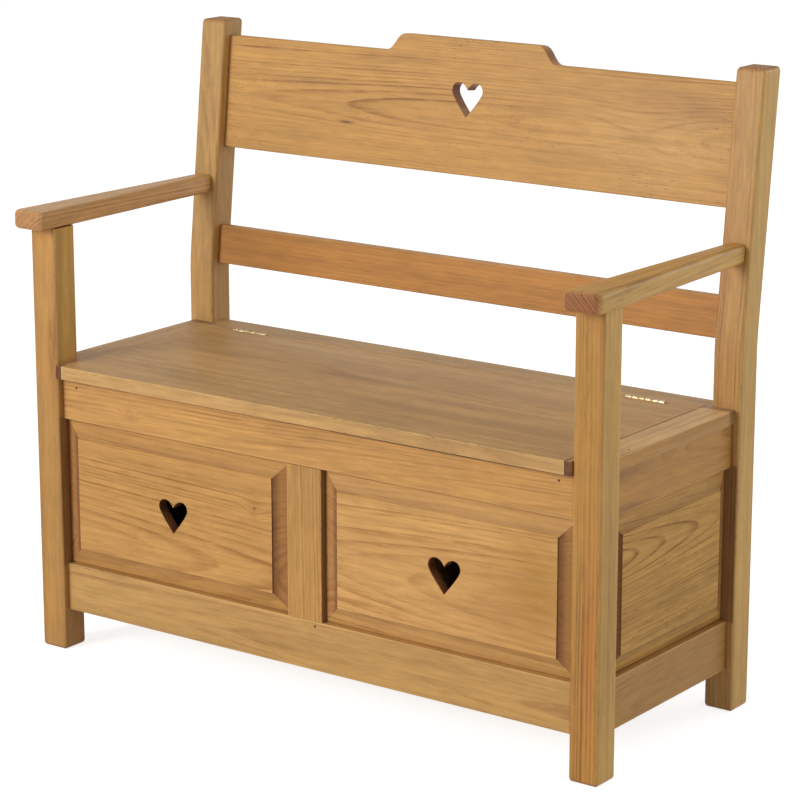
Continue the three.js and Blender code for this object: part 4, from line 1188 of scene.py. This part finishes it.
leaf_tree, size = tree_with("hinge_leaf", HINGE_SIZES)
knuckle = size["Length"] / (size["Knuckles"] * 2)
next_knuckle = vector_of(knuckle * 2)
own = bar(size["Knuckle Radius"], knuckle - size["Gap"])
own = row_of(own, size["Knuckles"], vector_of(size["First Own"] * knuckle), next_knuckle)
other = bar(size["Knuckle Radius"] * ROOM, knuckle)
other = row_of(other, size["Knuckles"], vector_of(size["First Other"] * knuckle), next_knuckle)
plate_size = vector_of(size["Length"], size["Thickness"], size["Depth"])
plate = add_node(leaf_tree, "GeometryNodeMeshCube", {"Size": plate_size})
plate_y = size["Side"] * (size["Inner Face"] + size["Thickness"] / 2)
plate = moved(plate, vector_of(0, plate_y, size["Depth"] / -2))
bore = bar(size["Bore"], size["Length"] * 1.1, 16)
sink = cone(size["Head Radius"], size["Shank Radius"], size["Thickness"] * 1.02, 24)
holes = screw_row(size, moved(sink, vector_of(0, 0, size["Thickness"] * -0.01)))
leaf = combine("DIFFERENCE", combine("UNION", plate, own), other, bore, holes)
close_tree(leaf_tree, size["Geometry"], leaf, brass)

# %% Slotted screws for a leaf
SCREW_SIZES = {
    "Head Radius": 2.55 * MM,
    "Head Depth": 1.2 * MM,
    "Shank Radius": 1.1 * MM,
    "Thread Radius": 1.4 * MM,
    "Thread Pitch": 1.05 * MM,
    "Threads": 7,
    "Slot Width": 0.7 * MM,
    "Slot Depth": 0.6 * MM,
    "Screw Length": 11.9 * MM,
    **SCREW_PLACES,
}
POINT_RADIUS = 0.1 * MM
screw_tree, size = tree_with("slotted_screws", SCREW_SIZES)
head = cone(size["Head Radius"], size["Shank Radius"], size["Head Depth"], 28)
slot_size = vector_of(size["Head Radius"] * 3, size["Slot Width"], size["Slot Depth"] * 2)
slot = add_node(screw_tree, "GeometryNodeMeshCube", {"Size": slot_size})
shank_length = size["Screw Length"] - size["Head Depth"] * 0.5
shank = cone(size["Shank Radius"], POINT_RADIUS, shank_length)
shank = moved(shank, vector_of(0, 0, size["Head Depth"] * 0.5))
thread = cone(size["Shank Radius"] * 0.8, size["Thread Radius"], size["Thread Pitch"] * 0.8)
first_thread = vector_of(0, 0, size["Head Depth"] + size["Thread Pitch"])
threads = row_of(thread, size["Threads"], first_thread, vector_of(0, 0, size["Thread Pitch"]))
screw = combine("DIFFERENCE", combine("UNION", head, shank, threads), slot)
close_tree(screw_tree, size["Geometry"], screw_row(size, screw), brass)

# %% Place the hinges
_, HINGE_Y, HINGE_Z = frame["joints"][0]["pos_m"]
hinge_middles = []
for pin in pins:
    low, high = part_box(pin)
    hinge_middles.append(((low.x + high.x) / 2, HINGE_Y, HINGE_Z))
for body, side, first_own in (("lid", -1.0, -2.5), ("frame", 1.0, -1.5)):
    leaf_sizes = {**HINGE_SIZES, "Side": side, "First Own": first_own, "First Other": -4.0 - first_own}
    leaves = grown_from(body + "_hinge_leaves", hinge_middles, leaf_tree, leaf_sizes)
    stand_for(leaves, body, "brass", *(f"hinge_{body}_leaf_{hand}" for hand in ("left", "right")))
    screws = grown_from(body + "_hinge_screws", hinge_middles, screw_tree, {**SCREW_SIZES, "Side": side})
    replaced = [f"{body}_screw_{hand}_{k}" for hand in ("left", "right") for k in (1, 2, 3)]
    stand_for(screws, body, "brass", *replaced)

# %% The sizes at the finish
low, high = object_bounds()
size = {"cad": [list(cad_low), list(cad_high)], "visual": [list(low), list(high)]}
